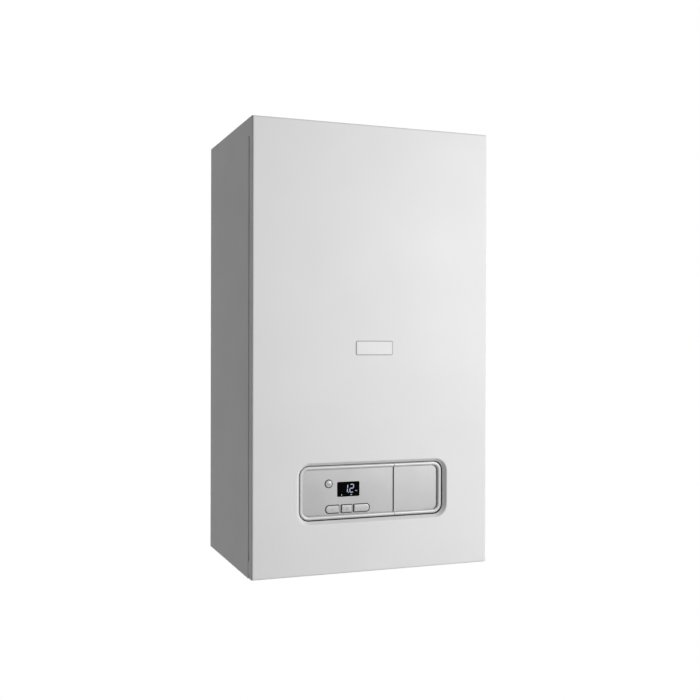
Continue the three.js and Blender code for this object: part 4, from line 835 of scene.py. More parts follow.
def front_panel():
    """The tray: flat face with a rounded edge, pressed recess, and returns with a notch."""
    low = PANEL.z0
    raised = low + PANEL_LIP  # the bottom return lies this high, behind the hem

    def rim(z0, corner):
        straight = PANEL.z1 - corner - z0 - corner
        stops = [(NOTCH[key] - z0 - corner) / straight for key in ("foot", "tip", "top")]
        return rectangle(-CASE_SIDE, CASE_SIDE, z0, PANEL.z1, corner, CORNER_STEPS, stops)

    def recess():
        shares = (0.25, 0.5, 0.75)
        return rectangle(-RECESS_HALF, RECESS_HALF, RECESS_LOW, RECESS_HIGH, RECESS_CORNER,
            CORNER_STEPS, shares)

    def return_edge(z):
        """How far back the side return reaches at a height."""
        marks = ((0, SEAM_STEP), (NOTCH["foot"], SEAM_STEP), (NOTCH["tip"], -NOTCH["depth"]),
            (NOTCH["top"], 0), (1, 0))
        for (z0, s0), (z1, s1) in zip(marks, marks[1:]):
            if z <= z1:
                return RETURN_Y + s0 + (s1 - s0) * max(z - z0, 0) / (z1 - z0)
        return RETURN_Y

    def ring(outline, inset, y):
        return [Vector((a, y(b) if callable(y) else y, b)) for a, b in outline(inset)]

    hem, wall = rim(low, PANEL_CORNER), rim(raised, PANEL_CORNER)
    press = recess()
    rings = []
    arc = 6
    for step in range(arc + 1):
        angle = math.radians(90 * step / arc)
        rings.append(ring(hem, PANEL_EDGE * (1 - math.sin(angle)),
            FRONT_Y + PANEL_EDGE * (1 - math.cos(angle))))
    rings.append(ring(wall, 0, FRONT_Y + PANEL_EDGE + 0.3))
    rings.append(ring(wall, 0, return_edge))
    rings.append(ring(wall, SHEET, return_edge))
    rings.append(ring(wall, SHEET, FRONT_Y + PANEL_EDGE + 0.6))
    rings.append(ring(wall, PANEL_EDGE, FRONT_Y + SHEET))
    slope = eased([(RECESS_SLOPE, RECESS_DEPTH + SHEET), (RECESS_SLOPE, RECESS_DEPTH), (0, 0), (-8,
        0)], RECESS_ROUNDING, 6)
    rings.append(ring(press, -SHEET * 1.4, FRONT_Y + SHEET))
    rings.append(ring(press, RECESS_SLOPE - SHEET, FRONT_Y + RECESS_DEPTH + SHEET))
    rings += [ring(press, inset, FRONT_Y + depth) for inset, depth in slope]
    work = Work()
    work.shell(rings, WHITE_PAINT, closed=True)
    lap = CASE_SIDE - 0.05
    for x0, x1 in ((-lap, SHEET - lap), (lap - SHEET, lap)):
        work.block((x0, FRONT_Y + PANEL_EDGE, low), (x1, SEAM_Y - FOOT_GAP, NOTCH["foot"]),
            WHITE_PAINT, 0.3)
        work.block((x0, RETURN_Y, low), (x1, SEAM_Y - FIT, 2 * raised), WHITE_PAINT, 0.3)
        work.block((x0, FRONT_Y + PANEL_EDGE, PANEL.z1 - EAR), (x1, RETURN_Y, PANEL.z1),
            WHITE_PAINT, 0.3)
    work.piece("front_panel_tray", "front_panel", "white_paint", "front_panel", crease=40)


PLAQUE_CORNER = 3
PLAQUE_FRAME = 1.3


def plaque():
    """A bare white plate with a thin frame round it, painted grey as the shade on its edge."""
    at = Place("plaque")
    outline = rectangle(at.x0, at.x1, at.z0, at.z1, PLAQUE_CORNER, 8)
    frame_line = ((0, at.y1), (0, at.y0 + 0.4), (0.15, at.y0 + 0.15), (0.4, at.y0 + 0.05),
        (PLAQUE_FRAME, at.y0 + 0.05), (PLAQUE_FRAME, at.y1))
    plate_line = ((PLAQUE_FRAME, at.y1 - 0.1), (PLAQUE_FRAME, at.y0 + 0.2), (PLAQUE_FRAME + 0.2,
        at.y0), (PLAQUE_FRAME + 0.8, at.y0))
    work = Work()
    # the frame carries the painted shade of the plaque's edge
    work.shell([[Vector((a, y, b)) for a, b in outline(inset)] for inset, y in frame_line],
        PLAQUE_EDGE_SHADE, closed=True)
    work.shell([[Vector((a, y, b)) for a, b in outline(inset)] for inset, y in plate_line],
        PLAQUE_WHITE)
    work.piece("plaque_plate", "front_panel", "silver_plastic", "plaque")


def panel_screw(name):
    """A pan head with a hexagon socket, and its shank."""
    at = Place(name)
    head = 5
    shank = 2
    top = at.z0 + 3
    work = Work()
    work.turned("z", at.x, at.y, [(0, at.z0), (head * 0.75, at.z0), (head, at.z0 + 1.4), (head,
        top), (shank, top), (shank, at.z1 - 1), (shank * 0.5, at.z1)], BRIGHT_STEEL, 0.7, 32)
    work.prism("z", polygon(at.x, at.y, 1.9, 6), at.z0 - 0.02, at.z0 + 0.6, BLACK_PLASTIC, 0.1, 1)
    thread = Work()
    thread.turned("z", 0, 0, [(shank * 0.8, -0.3), (shank + 0.25, 0), (shank * 0.8, 0.3)],
        BRIGHT_STEEL, 0.05, 24)
    turns = int((at.z1 - top - 2) / 0.8)
    work.take(copies(ROW, thread, BRIGHT_STEEL, Count=turns, Start=(at.x, at.y, top + 1), Step=(0,
        0, 0.8)))
    work.piece(name + "_made", "front_panel", "steel", name)


# ---- Fascia and controls --------------------------------------------------------------

RIM_WIDTH = 6.5
RIM_CORNER = RECESS_CORNER - RECESS_SLOPE - WINDOW_GAP
FACE_Y = FASCIA.y0 + 5
FASCIA_BACK = FACE_Y + 2.5
SPLIT = FASCIA.x1
SPLIT_GAP = 0.8
SEAM_EASE = 0.8  # the plates end this far from the seam's sides
KEY_GAP = 0.8
BUTTON_GROOVE = 0.9
GROOVE_EASE = 0.3  # rounded edges widen the groove by this on either side
WEB_DEPTH = 1.8  # the dark web between two keys lies this deep
KEYS = {"key_left": (5.6, 1), "key_middle": (1, 1),
        "key_right": (1, 5.6)}  # radius of the left and of the right end's corners


def key_outline(x0, x1, z0, z1, left, right):
    def outline(inset=0.0):
        points = []
        for quarter, (x, z, r) in enumerate(((x1, z0, right), (x1, z1, right), (x0, z1, left),
                                             (x0, z0, left))):
            r = max(r - inset, 0.1)
            sx, sz = (1 if x == x1 else -1), (1 if z == z1 else -1)
            cx, cz = x - sx * (inset + r), z - sz * (inset + r)
            for step in range(9):
                angle = math.radians(90 * (quarter - 1) + 90 * step / 8)
                points.append((cx + r * math.cos(angle), cz + r * math.sin(angle)))
        return points
    return outline


def outline_of_key(name, grow=0.0):
    at = Place(name)
    left, right = KEYS[name]
    return key_outline(at.x0 - grow, at.x1 + grow, KEY_LOW - grow, KEY_HIGH + grow, left + grow,
        right + grow)


KEY_LOW, KEY_HIGH = Place("key_middle").z0, Place("key_middle").z1
BUTTON = Place("reset_button")
BUTTON_RADIUS = (BUTTON.x1 - BUTTON.x0) / 2
DISPLAY = Place("display")
DISPLAY_CORNER = 1.5


def halved(mesh, x, keep_low):
    """One side of a closed mesh, closed again along the cut."""
    lines = bmesh.new()
    lines.from_mesh(mesh)
    everything = lines.verts[:] + lines.edges[:] + lines.faces[:]
    bmesh.ops.bisect_plane(lines, geom=everything, plane_co=(x, 0, 0), plane_no=(1, 0,
        0) if keep_low else (-1, 0, 0), clear_outer=True)
    open_edges = [edge for edge in lines.edges if len(edge.link_faces) == 1]
    bmesh.ops.holes_fill(lines, edges=open_edges)
    half = bpy.data.meshes.new("half")
    lines.to_mesh(half)
    lines.free()
    for surface in mesh.materials:
        half.materials.append(surface)
    return half


def fascia_parts():
    """The silver rim and the grey plate inside it, before they are parted."""
    outline = rectangle(-COVER.x1, COVER.x1, FASCIA.z0, FASCIA.z1, RIM_CORNER, CORNER_STEPS)
    shoulder = FACE_Y - 2.4
    crest = shoulder - FASCIA.y0
    line = [(0.2, FASCIA_BACK), (0, FASCIA_BACK - 0.2)]
    arc = 12
    for step in range(arc + 1):
        angle = math.pi * step / arc
        line.append((RIM_WIDTH / 2 * (1 - math.cos(angle)), shoulder - crest * math.sin(angle)))
    line += [(RIM_WIDTH, FACE_Y + 0.9), (RIM_WIDTH - 0.2, FASCIA_BACK)]
    rim = Work()
    rim.shell([[Vector((a, y, b)) for a, b in outline(inset)] for inset, y in line], RIM_SILVER,
        closed=True)
    inner = RIM_WIDTH + 0.55
    seat = RIM_WIDTH - 0.4
    line = [(seat, FASCIA_BACK - 0.1), (seat, FACE_Y + 0.9), (inner, FACE_Y + 0.9), (inner,
        FACE_Y + 0.35), (inner + 0.1, FACE_Y + 0.1), (inner + 0.35, FACE_Y)]
    plate = Work()
    plate.shell([[Vector((a, y, b)) for a, b in outline(inset)] for inset, y in line], FASCIA_GREY)
    return rim, plate


def hole(outline):
    tool = Work()
    tool.prism("y", outline, FACE_Y - 5, FASCIA_BACK + 2, BLACK_PLASTIC, 0.01, 1)
    return tool


def fascia_and_cover():
    rim, plate = fascia_parts()
    tools = [hole(outline_of_key(name, KEY_GAP + GROOVE_EASE)) for name in KEYS]
    tools.append(hole(disc(BUTTON.x, BUTTON.z, BUTTON_RADIUS + FIT, 48)))
    tools.append(hole(rectangle(DISPLAY.x0 - FIT, DISPLAY.x1 + FIT, DISPLAY.z0 - FIT,
        DISPLAY.z1 + FIT, DISPLAY_CORNER + FIT, 6)))
    for left_key, right_key in (("key_left", "key_middle"), ("key_middle", "key_right")):
        web = Work()
        web.block((Place(left_key).x1, FACE_Y - 5, KEY_LOW - KEY_GAP), (Place(right_key).x0,
            FACE_Y + WEB_DEPTH, KEY_HIGH + KEY_GAP), BLACK_PLASTIC, 0.01)
        tools.append(web)
    plate_mesh = carved(plate, tools, 0.3)
    rim_mesh = rim.plain("rim")
    left = Work()
    left.take(halved(rim_mesh, SPLIT, True))
    left.take(halved(plate_mesh, SPLIT - SEAM_EASE, True))
    left.piece("fascia_plate", "control_box", "grey_plastic", "fascia")
    right = Work()
    right.take(halved(rim_mesh, SPLIT + SPLIT_GAP, False))
    right.take(halved(plate_mesh, SPLIT + SPLIT_GAP + SEAM_EASE, False))
    for z in (COVER.z - 22, COVER.z + 22):
        right.block((COVER.x1 - 50, FASCIA_BACK - 0.5, z - 1.5), (COVER.x1 - 38, COVER.y1, z + 1.5),
            GREY_PLASTIC, 0.4)
    right.piece("blanking_cover_plate", "blanking_cover", "grey_plastic", "blanking_cover")


MARK_PROUD = 0.03


def bar(work, x0, x1, z0, z1, y, surface):
    """A thin printed or lit bar on a face that looks towards -Y."""
    ring = [(x0, z0), (x1, z0), (x1, z1), (x0, z1)]
    work.shell([[Vector((x, depth, z)) for x, z in ring] for depth in (y - MARK_PROUD,
        y + MARK_PROUD)], surface)


def key(name):
    """A key with an eased edge, a slightly crowned face and a stem."""
    at = Place(name)
    outline = outline_of_key(name, -GROOVE_EASE)
    back = FASCIA_BACK - 0.7
    rings = [(0.2, back), (0, back - 0.2)]
    for step in range(6):
        angle = math.radians(18 * step)
        rings.append((0.9 * (1 - math.cos(angle)), at.y0 + 0.9 * (1 - math.sin(angle))))
    rings += [(1.6, at.y0 - 0.05), (3.2, at.y0 - 0.12), (5.2, at.y0 - 0.15)]
    work = Work()
    work.shell([[Vector((a, y, b)) for a, b in outline(inset)] for inset, y in rings], KEY_GREY)
    work.turned("y", at.x, (KEY_LOW + KEY_HIGH) / 2, [(2.5, back - 0.5), (2.5, at.y1)], KEY_GREY,
        0.3, 24)
    face = at.y0 - 0.15
    middle = (KEY_LOW + KEY_HIGH) / 2
    if name == "key_left":
        bar(work, at.x - 3.4, at.x + 0.6, middle - 0.3, middle + 0.3, face, MARK_GREY)
    if name == "key_middle":
        for rise in (-1.6, 0, 1.6):
            bar(work, at.x - 2.2, at.x + 2.2, middle + (rise - 0.25), middle + (rise + 0.25), face,
                MARK_GREY)
    if name == "key_right":
        work.turned("y", at.x1 - 4.6, middle, [(0, at.y0 - 0.12), (0.7, at.y0 - 0.12), (0.7,
            at.y0 + 0.1)], MARK_GREY, 0.05, 20)
    work.piece(name + "_cap", name, "grey_plastic", name, crease=45)


def reset_button():
    """A round button: a dished dome with a fine ring, a printed mark and a stem."""
    work = Work()
    back = FASCIA_BACK - 0.7
    r = BUTTON_RADIUS - BUTTON_GROOVE
    work.turned("y", BUTTON.x, BUTTON.z, [(r - 0.2, back), (r, back - 0.3), (r, BUTTON.y0 + 1.5),
        (r - 0.9, BUTTON.y0 + 0.35), (r - 1.6, BUTTON.y0 + 0.2), (r - 1.9, BUTTON.y0 + 0.45),
        (r - 2.3, BUTTON.y0 + 0.2), (r * 0.35, BUTTON.y0), (0, BUTTON.y0 - 0.05)], KEY_GREY, 0.5,
        64)
    work.turned("y", BUTTON.x, BUTTON.z, [(2.5, back - 0.5), (2.5, BUTTON.y1)], KEY_GREY, 0.3, 24)
    arc = [math.radians(angle) for angle in range(-230, 51, 20)]
    ring = [(BUTTON.x + s * math.cos(a), BUTTON.z + s * math.sin(a)) for s, angles in ((2.1, arc),
        (1.5, reversed(arc))) for a in angles]
    work.shell([[Vector((x, BUTTON.y0 + depth, z)) for x, z in ring] for depth in (-0.06, 0.1)],
        MARK_GREY)
    bar(work, BUTTON.x - 0.22, BUTTON.x + 0.22, BUTTON.z + 0.4, BUTTON.z + 2.3, BUTTON.y0 - 0.04,
        MARK_GREY)
    work.piece("reset_button_cap", "reset_button", "grey_plastic", "reset_button", crease=50)


FIGURE_HEIGHT = 14.2
FIGURE_WIDTH = 7.6
STROKE = 1.3
FIGURE_LEAN = 0.07
SEGMENTS = {"a": (0, 2, 1, 2), "b": (1, 1, 1, 2), "c": (1, 0, 1, 1), "d": (0, 0, 1, 0), "e": (0, 0,
    0, 1), "f": (0, 1, 0, 2), "g": (0, 1, 1, 1)}


def figure(work, x, z, width, lit, y):
    """A seven-segment figure: each lit segment is a bar with pointed ends."""
    half = STROKE / 2
    rise = (FIGURE_HEIGHT - STROKE) / 2
    span = width - STROKE
    for name in lit:
        c0, r0, c1, r1 = SEGMENTS[name]
        start = Vector((x + half + c0 * span, z + half + r0 * rise))
        end = Vector((x + half + c1 * span, z + half + r1 * rise))
        way = (end - start).normalized()
        gap = 0.25
        start, end = start + way * gap, end - way * gap
        out = Vector((-way.y, way.x)) * half
        ring = [start, start + way * half - out, end - way * half - out, end,
            end - way * half + out, start + way * half + out]
        work.shell([[Vector((p.x + FIGURE_LEAN * (p.y - z), depth,
            p.y)) for p in ring] for depth in (y - MARK_PROUD, y + MARK_PROUD)], LIT)


def display():
    """The black window with its lit figures and small plain marks."""
    work = Work()
    work.prism("y", rectangle(DISPLAY.x0, DISPLAY.x1, DISPLAY.z0, DISPLAY.z1, DISPLAY_CORNER, 8),
        DISPLAY.y0, DISPLAY.y1, GLASS, 0.35, 3)
    y = DISPLAY.y0
    base = DISPLAY.z0 + 6
    two = DISPLAY.x1 - 17.6
    figure(work, two, base, FIGURE_WIDTH, "abged", y)
    one = two - 4.2
    figure(work, one - FIGURE_WIDTH + STROKE, base, FIGURE_WIDTH, "bc", y)
    bar(work, one + 2.3, one + 3.5, base, base + 1.3, y, LIT)
    small = 0.8
    for x, z, wide, tall in ((DISPLAY.x1 - 7.2, base + 2.4, 3.6, small),
                             (two + 2.2, base - 3.4, 2.6, small),
                             (two + 2.9, base - 4.5, 1.2, small),
                             (DISPLAY.x0 + 7.4, base - 4.3, 1.1, 2.1)):
        bar(work, x, x + wide, z, z + tall, y, LIT)
    work.piece("display_window", "control_box", "dark_glass", "display")


for side_name, side_hand in (("side_panel_left", -1), ("side_panel_right", 1)):
    side_panel(side_name, side_hand)
front_panel()
plaque()
for screw_name in ("front_screw_left", "front_screw_right"):
    panel_screw(screw_name)
fascia_and_cover()
for key_name in KEYS:
    key(key_name)
reset_button()
display()


# ---- Places inside -------------------------------------------------------------------

def round_in(outline, a, b, radius):
    """A round hole's outline with its points facing those of another outline."""
    turns = [math.atan2(q - b, p - a) for p, q in outline(0.0)]
    return lambda inset=0.0: [(a + (radius - inset) * math.cos(t),
        b + (radius - inset) * math.sin(t)) for t in turns]


def bolt(size, length, surface=BRIGHT_STEEL):
    """A hexagon bolt about Z: a washer and a chamfered head."""
    work = Work()
    work.turned("z", 0, 0, [(0, 0), (size * 1.15, 0), (size * 1.15, size * 0.2), (0, size * 0.2)],
        surface, 0.1, 20)
    work.prism("z", polygon(0, 0, size, 6), size * 0.2, size * 0.2 + length, surface, size * 0.14,
        1)
    return work


def ring_of_bolts(work, axis, place, radius, count, size, length, turn=0.0, flip=False):
    """Bolt heads in a ring about an axis. flip points them to the axis's low end."""
    made = copies(RING, bolt(size, length), BRIGHT_STEEL, Count=count, Radius=radius)
    stand = stood(axis, place, turn)
    if flip:
        stand = stand @ Matrix.Rotation(math.pi, 4, "X")
    work.take(made, place=stand)


def bolts_at(work, axis, places, size, length, flip=False):
    for place in places:
        stand = stood(axis, place)
        if flip:
            stand = stand @ Matrix.Rotation(math.pi, 4, "X")
        work.take(bolt(size, length).plain("bolt"), place=stand)


def beads(work, axis, a, b, radius, heights, surface, swell=1.2):
    """Rolled beads round a pipe or a drum."""
    for height in heights:
        work.turned(axis, a, b, [(radius - swell * 0.6, height - swell * 1.1), (radius,
            height - swell), (radius + swell * 0.8, height - swell * 0.4), (radius + swell * 0.8,
            height + swell * 0.4), (radius, height + swell), (radius - swell * 0.6,
            height + swell * 1.1)], surface, swell * 0.4, 40)


# ---- Flue ----------------------------------------------------------------------------

FLUE_Y = -125
HEAT_X, HEAT_Z = -45, 520


def flue():
    collar = Work()
    square = rectangle(-60, 60, FLUE_Y - 60, FLUE_Y + 60, 8, 9)
    collar.hollow("z", square, round_in(square, 0, FLUE_Y, 49.9), 742, 744.5, CAST, 0.5)
    collar.turned("z", 0, FLUE_Y, ((50, 742), (54.5, 742), (53.4, 746), (52.5, 749), (52.5, 759.4),
        (53.6, 760.4), (53.6, 762), (50, 762)), CAST, 0.8, 72, closed=True)
    for angle in (90, 210, 330):
        web = Work()
        web.prism("z", rectangle(30.4, 50.6, -1, 1, 0.4, 2), 742, 752, CAST, 0.4)
        collar.take(web.plain("web"), place=Matrix.Translation((0, FLUE_Y,
            0)) @ Matrix.Rotation(math.radians(angle), 4, "Z"))
    bolts_at(collar, "z", [(x, FLUE_Y + y, 744.5) for x in (-51, 51) for y in (-51, 51)], 3.6, 2.4)
    collar.piece("flue_collar_cast", "root", "cast_aluminium", "flue_collar")

    duct = Work()
    duct.tube([(HEAT_X, FLUE_Y, 637.3), (HEAT_X, FLUE_Y, 657), (0, FLUE_Y, 715), (0, FLUE_Y, 760)],
        30, STEEL, 40, 2, 56, 14)
    beads(duct, "z", HEAT_X, FLUE_Y, 30, [642, 648], STEEL)
    beads(duct, "z", 0, FLUE_Y, 30, [733], STEEL)
    duct.piece("exhaust_duct_pipe", "root", "cast_aluminium", "exhaust_duct")


# ---- Heat exchanger and burner ---------------------------------------------------------

def heat_exchanger():
    work = Work()
    outer = [(0, -81.5), (92, -81.5), (103, -84.5), (104.6, -88)]
    y = -92
    while y > -208:
        outer += [(104.8, y), (104.8, y - 3.4), (101.6, y - 4.6), (101.6, y - 6.6)]
        y -= 8
    outer += [(103.5, -219), (107.8, -220.5), (107.8, -226.3), (65, -226.5)]
    bore = []
    y = -222
    while y < -112:
        bore += [(65, y), (65, y + 3.2), (67.6, y + 4.4), (67.6, y + 6)]
        y += 7.6
    bore += [(65, -106.5), (0, -106.5)]
    work.turned("y", HEAT_X, HEAT_Z, outer + bore, CAST, 0.8, 88)
    work.turned("z", HEAT_X, FLUE_Y, ((28, 596), (33, 596), (33, 628), (35.5, 630), (35.5, 635),
        (33, 637), (28, 637)), CAST, 0.8, 48, closed=True)
    for axis, a, b, inner, mouth, size in (
            ("x", -151.5, 500, -110, -158, 12),
            ("z", 30, -151.5, 455, 427, 12),
            ("z", -60, -111.5, 430, 405, 11)):
        way = 1 if inner > mouth else -1
        work.turned(axis, a, b, [(size * 0.65, mouth), (size - 0.8, mouth), (size,
            mouth + 0.8 * way), (size, mouth + 4 * way), (size - 1.6, mouth + 5 * way), (size - 1.6,
            inner), (size * 0.65, inner)], CAST, 0.4, 40, closed=True)
        work.nut(axis, a, b, size + 1, mouth + 7 * way, mouth + 17 * way, CAST)
    for y in (-206.5, -101.5):
        work.box(-207.5, -134, y, y + 3, 530, 580, ZINC, 0.6, 1.2)
        work.box(-207.5, -204.5, y - 9, y + 3, 530, 580, ZINC, 0.6, 1.2)
    ring_of_bolts(work, "y", (HEAT_X, -226.3, HEAT_Z), 99.5, 10, 3.4, 2.6, math.radians(17),
        flip=True)
    for z in (455, 585):
        work.box(-62, -28, -85.5, -80.5, z - 10, z + 10, CAST, 1, 3)
    work.piece("heat_exchanger_cast", "root", "cast_aluminium", "heat_exchanger")


def burner_door():
    work = Work()
    work.turned("y", HEAT_X, HEAT_Z, ((29, -229.5), (82, -229.5), (84, -231), (84, -236.5), (82,
        -238.5), (72, -238.5), (70, -240), (67, -240), (65, -238.5), (43.5, -238.5), (41, -241),
        (40, -243), (40, -262), (37.5, -264.4), (8, -264.4), (6, -262.8), (0, -262.8)), CAST, 0.8,
        80)
    spoke = Work()
    spoke.block((42, -1.6, -1), (78, 1.6, 3), CAST, 0.7)
    spokes = spun(spoke, CAST, 12)
    work.take(spokes, place=stood("y", (HEAT_X, -238, HEAT_Z),
        math.radians(20)) @ Matrix.Rotation(math.pi, 4, "X"))
    outer = rectangle(-264.5, -238.8, 495, 535, 5, 5)
    inner = rectangle(-260.5, -242.5, 499, 531, 3, 5)
    work.hollow("x", outer, inner, HEAT_X + 8, 58, CAST, 0.8)
    collar = rectangle(-266, -237.4, 493.4, 536.6, 6, 5)
    work.hollow("x", collar, inner, 51, 57.8, CAST, 0.8)
    for angle in (35, 95, 155, 215, 275, 330):
        t = math.radians(angle)
        x, z = HEAT_X + 75 * math.cos(t), HEAT_Z + 75 * math.sin(t)
        work.turned("y", x, z, ((0, -236), (6.6, -236), (6.6, -239), (5.6, -240.2), (0, -240.2)),
            CAST, 0.5, 28)
        bolts_at(work, "y", [(x, -240.2, z)], 4.6, 3.4, flip=True)
    work.piece("burner_door_cast", "root", "cast_aluminium", "burner_door")


def burner_tube():
    work = Work()
    work.turned("y", HEAT_X, HEAT_Z, ((31.5, -229.3), (43.2, -229.3), (43.2, -227.7), (33, -227.4),
        (33, -136.5), (31.5, -134.5), (0, -134.5), (0, -136.2), (30.5, -136.2), (31.5, -138)),
        STEEL, 0.5, 64)
    dimple = Work()
    dimple.turned("x", 0, 0, [(0, -0.4), (0.75, -0.4), (0.75, 0.12), (0, 0.12)], BLACK_PLASTIC, 0.1,
        8)
    slots = copies(SHELL, dimple, BLACK_PLASTIC, Count=40, Rings=20, Radius=33, Pitch=4)
    work.take(slots, place=stood("y", (HEAT_X, -218, HEAT_Z)))
    work.piece("burner_tube_skin", "root", "steel", "burner_tube")


def electrode_and_glass():
    x, z = -75.19, 558.61
    work = Work()
    body = [(0, -254.5), (2.6, -254.5), (3.6, -253.6)]
    for y in (-252.6, -249.6, -246.6):
        body += [(4.9, y), (4.9, y + 1.2), (3.9, y + 1.8), (3.9, y + 2.4)]
    body += [(7, -243.5), (7, -238.7), (4.9, -238.5), (4.9, -219), (3.4, -217.5), (0, -217.5)]
    work.turned("y", x, z, body, CERAMIC, 0.3, 28)
    work.turned("y", x, z, ((0, -262.5), (1.1, -262.4), (1.5, -261.6), (1.5, -189.5), (0, -189.5)),
        BRIGHT_STEEL, 0.3, 16)
    work.piece("ignition_electrode_made", "root", "ceramic", "ignition_electrode")

    glass = Work()
    gx, gz = -97, 495
    glass.turned("y", gx, gz, ((6.5, -238.5), (11, -238.5), (11, -240.4), (10.2, -241.5), (7.4,
        -241.5), (6.5, -240.6)), BRIGHT_STEEL, 0.3, 36, closed=True)
    glass.turned("y", gx, gz, ((0, -228.5), (6.5, -228.5), (6.5, -240.2), (5.6, -240.6), (0,
        -240.6)), SIGHT_GLASS, 0.3, 36)
    glass.piece("sight_glass_lens", "root", "dark_glass", "sight_glass")


# ---- Fan, mixing and gas ---------------------------------------------------------------

FAN_X, FAN_Z = 134.8, 600


def fan():
    work = Work()
    work.turned("y", FAN_X, FAN_Z, ((24, -191.5), (27, -192.6), (30, -191.5), (57, -191.5), (60,
        -188.8), (60, -172), (61.6, -171), (61.6, -168), (60, -167), (60, -149.2), (57, -146.5),
        (4.4, -146.5), (4.4, -149.5), (56, -149.5), (57, -151), (57, -187), (55.5, -188.5), (24,
        -188.5)), CAST, 0.7, 88, closed=True)
    outer = rectangle(74.8, 112.8, -191.4, -146.6, 5, 5)
    inner = rectangle(77.8, 109.8, -188.4, -149.6, 3, 5)
    work.hollow("z", outer, inner, 538, 588, CAST, 0.8)
    lip = rectangle(73, 114.6, -193, -145, 6, 5)
    work.hollow("z", lip, inner, 538, 543, CAST, 0.8)
    work.box(186.8, 207.5, -155.5, -151.5, 585, 615, ZINC, 0.8, 1.5)
    ring_of_bolts(work, "y", (FAN_X, -191.4, FAN_Z), 54, 6, 3, 2.2, 0.4, flip=True)
    rib = Work()
    rib.block((30, -0.9, -0.5), (50, 0.9, 1.8), CAST, 0.5)
    ribs = spun(rib, CAST, 12)
    work.take(ribs, place=stood("y", (FAN_X, -191.3, FAN_Z)) @ Matrix.Rotation(math.pi, 4, "X"))
    work.piece("fan_housing_cast", "root", "cast_aluminium", "fan_housing")

    wheel = Work()
    wheel.turned("y", FAN_X, FAN_Z, ((0, -176), (5, -177.5), (9, -176), (10, -172), (10, -154.6),
        (43.5, -154.4), (45, -153.8), (45, -152.8), (4, -152.5), (4, -130.5), (0, -130.5)),
        BLACK_PLASTIC, 0.4, 64)
    wheel.turned("y", FAN_X, FAN_Z, ((28, -185.5), (45, -185.5), (45, -183.6), (31, -183.5), (28,
        -184.2)), BLACK_PLASTIC, 0.3, 64, closed=True)
    blade = Work()
    rings = []
    for height in (-16.4, 16.4):
        points = []
        for side in (1, -1):
            steps = range(9) if side > 0 else range(8, -1, -1)
            for step in steps:
                t = step / 8
                radius, turn = 20 + 24 * t, 0.55 * t * t
                points.append(Vector((radius * math.cos(turn),
                    (radius * math.sin(turn) + side * (0.9 - 0.4 * t)), height)))
        rings.append(points)
    blade.shell(rings, BLACK_PLASTIC)
    blades = spun(blade, BLACK_PLASTIC, 9)
    wheel.take(blades, place=stood("y", (FAN_X, -169, FAN_Z)))
    wheel.piece("fan_wheel", "fan_impeller", "black_plastic", "fan_impeller")

    motor = Work()
    motor.turned("y", FAN_X, FAN_Z, ((4.4, -146.5), (31, -146.5), (33, -145.5), (33, -140), (34,
        -139.4), (34, -117), (31, -113.2), (22, -112.5), (20, -113.4), (0, -113.4), (0, -128), (4.4,
        -128.5)), BLACK_PLASTIC, 0.7, 64)
    fin = Work()
    fin.block((30, -0.7, 0), (34, 0.7, 20), BLACK_PLASTIC, 0.4)
    fins = spun(fin, BLACK_PLASTIC, 36)
    motor.take(fins, place=stood("y", (FAN_X, -138, FAN_Z)))
    motor.box(FAN_X - 14, FAN_X + 14, -142.5, -116.5, 626, 642, BLACK_PLASTIC, 1)
    for x in range(-9, 10, 6):
        motor.box(FAN_X + x - 2, FAN_X + x + 2, -138, -121, 641, 642, GREY_PLASTIC, 0.3)
    ring_of_bolts(motor, "y", (FAN_X, -113.6, FAN_Z), 26, 3, 2.6, 1.4)
    motor.piece("fan_motor_case", "root", "black_plastic", "fan_motor")

    duct = Work()
    mix_y = -251.8
    duct.tube([(93.8, -169, 537.7), (93.8, -169, 515), (93.8, mix_y, 515), (58.3, mix_y, 515)],
        12.5, CAST, 14, 1.5, 40, 12)
    beads(duct, "z", 93.8, -169, 12.5, [534], CAST)
    beads(duct, "x", mix_y, 515, 12.5, [62, 66], CAST)
    beads(duct, "y", 93.8, 515, 12.5, [y for y in (-196, -202, -208, -214, -220)], BLACK_PLASTIC,
        1.6)
    duct.piece("mixing_duct_pipe", "root", "cast_aluminium", "mixing_duct")


def venturi():
    work = Work()
    work.turned("y", FAN_X, FAN_Z, ((24, -233.5), (28.6, -233.5), (30, -232.2), (30, -229), (28.4,
        -228), (28.4, -218), (30, -217), (30, -192.8), (27, -191.5), (22.5, -191.5), (16.2, -208),
        (16.2, -212), (20, -222)), BLACK_PLASTIC, 0.8, 64, closed=True)
    work.turned("z", FAN_X, -211.5, ((6, 566), (10.2, 566), (11, 567), (11, 571), (9.6, 572), (9.6,
        576), (6, 576)), BLACK_PLASTIC, 0.4, 36, closed=True)
    for turn in (45, 135, 225, 315):
        t = math.radians(turn)
        bolts_at(work, "y", [(FAN_X + 26 * math.cos(t), -232.9, FAN_Z + 26 * math.sin(t))], 2, 0.6,
            flip=True)
    work.piece("venturi_cone", "root", "black_plastic", "venturi")


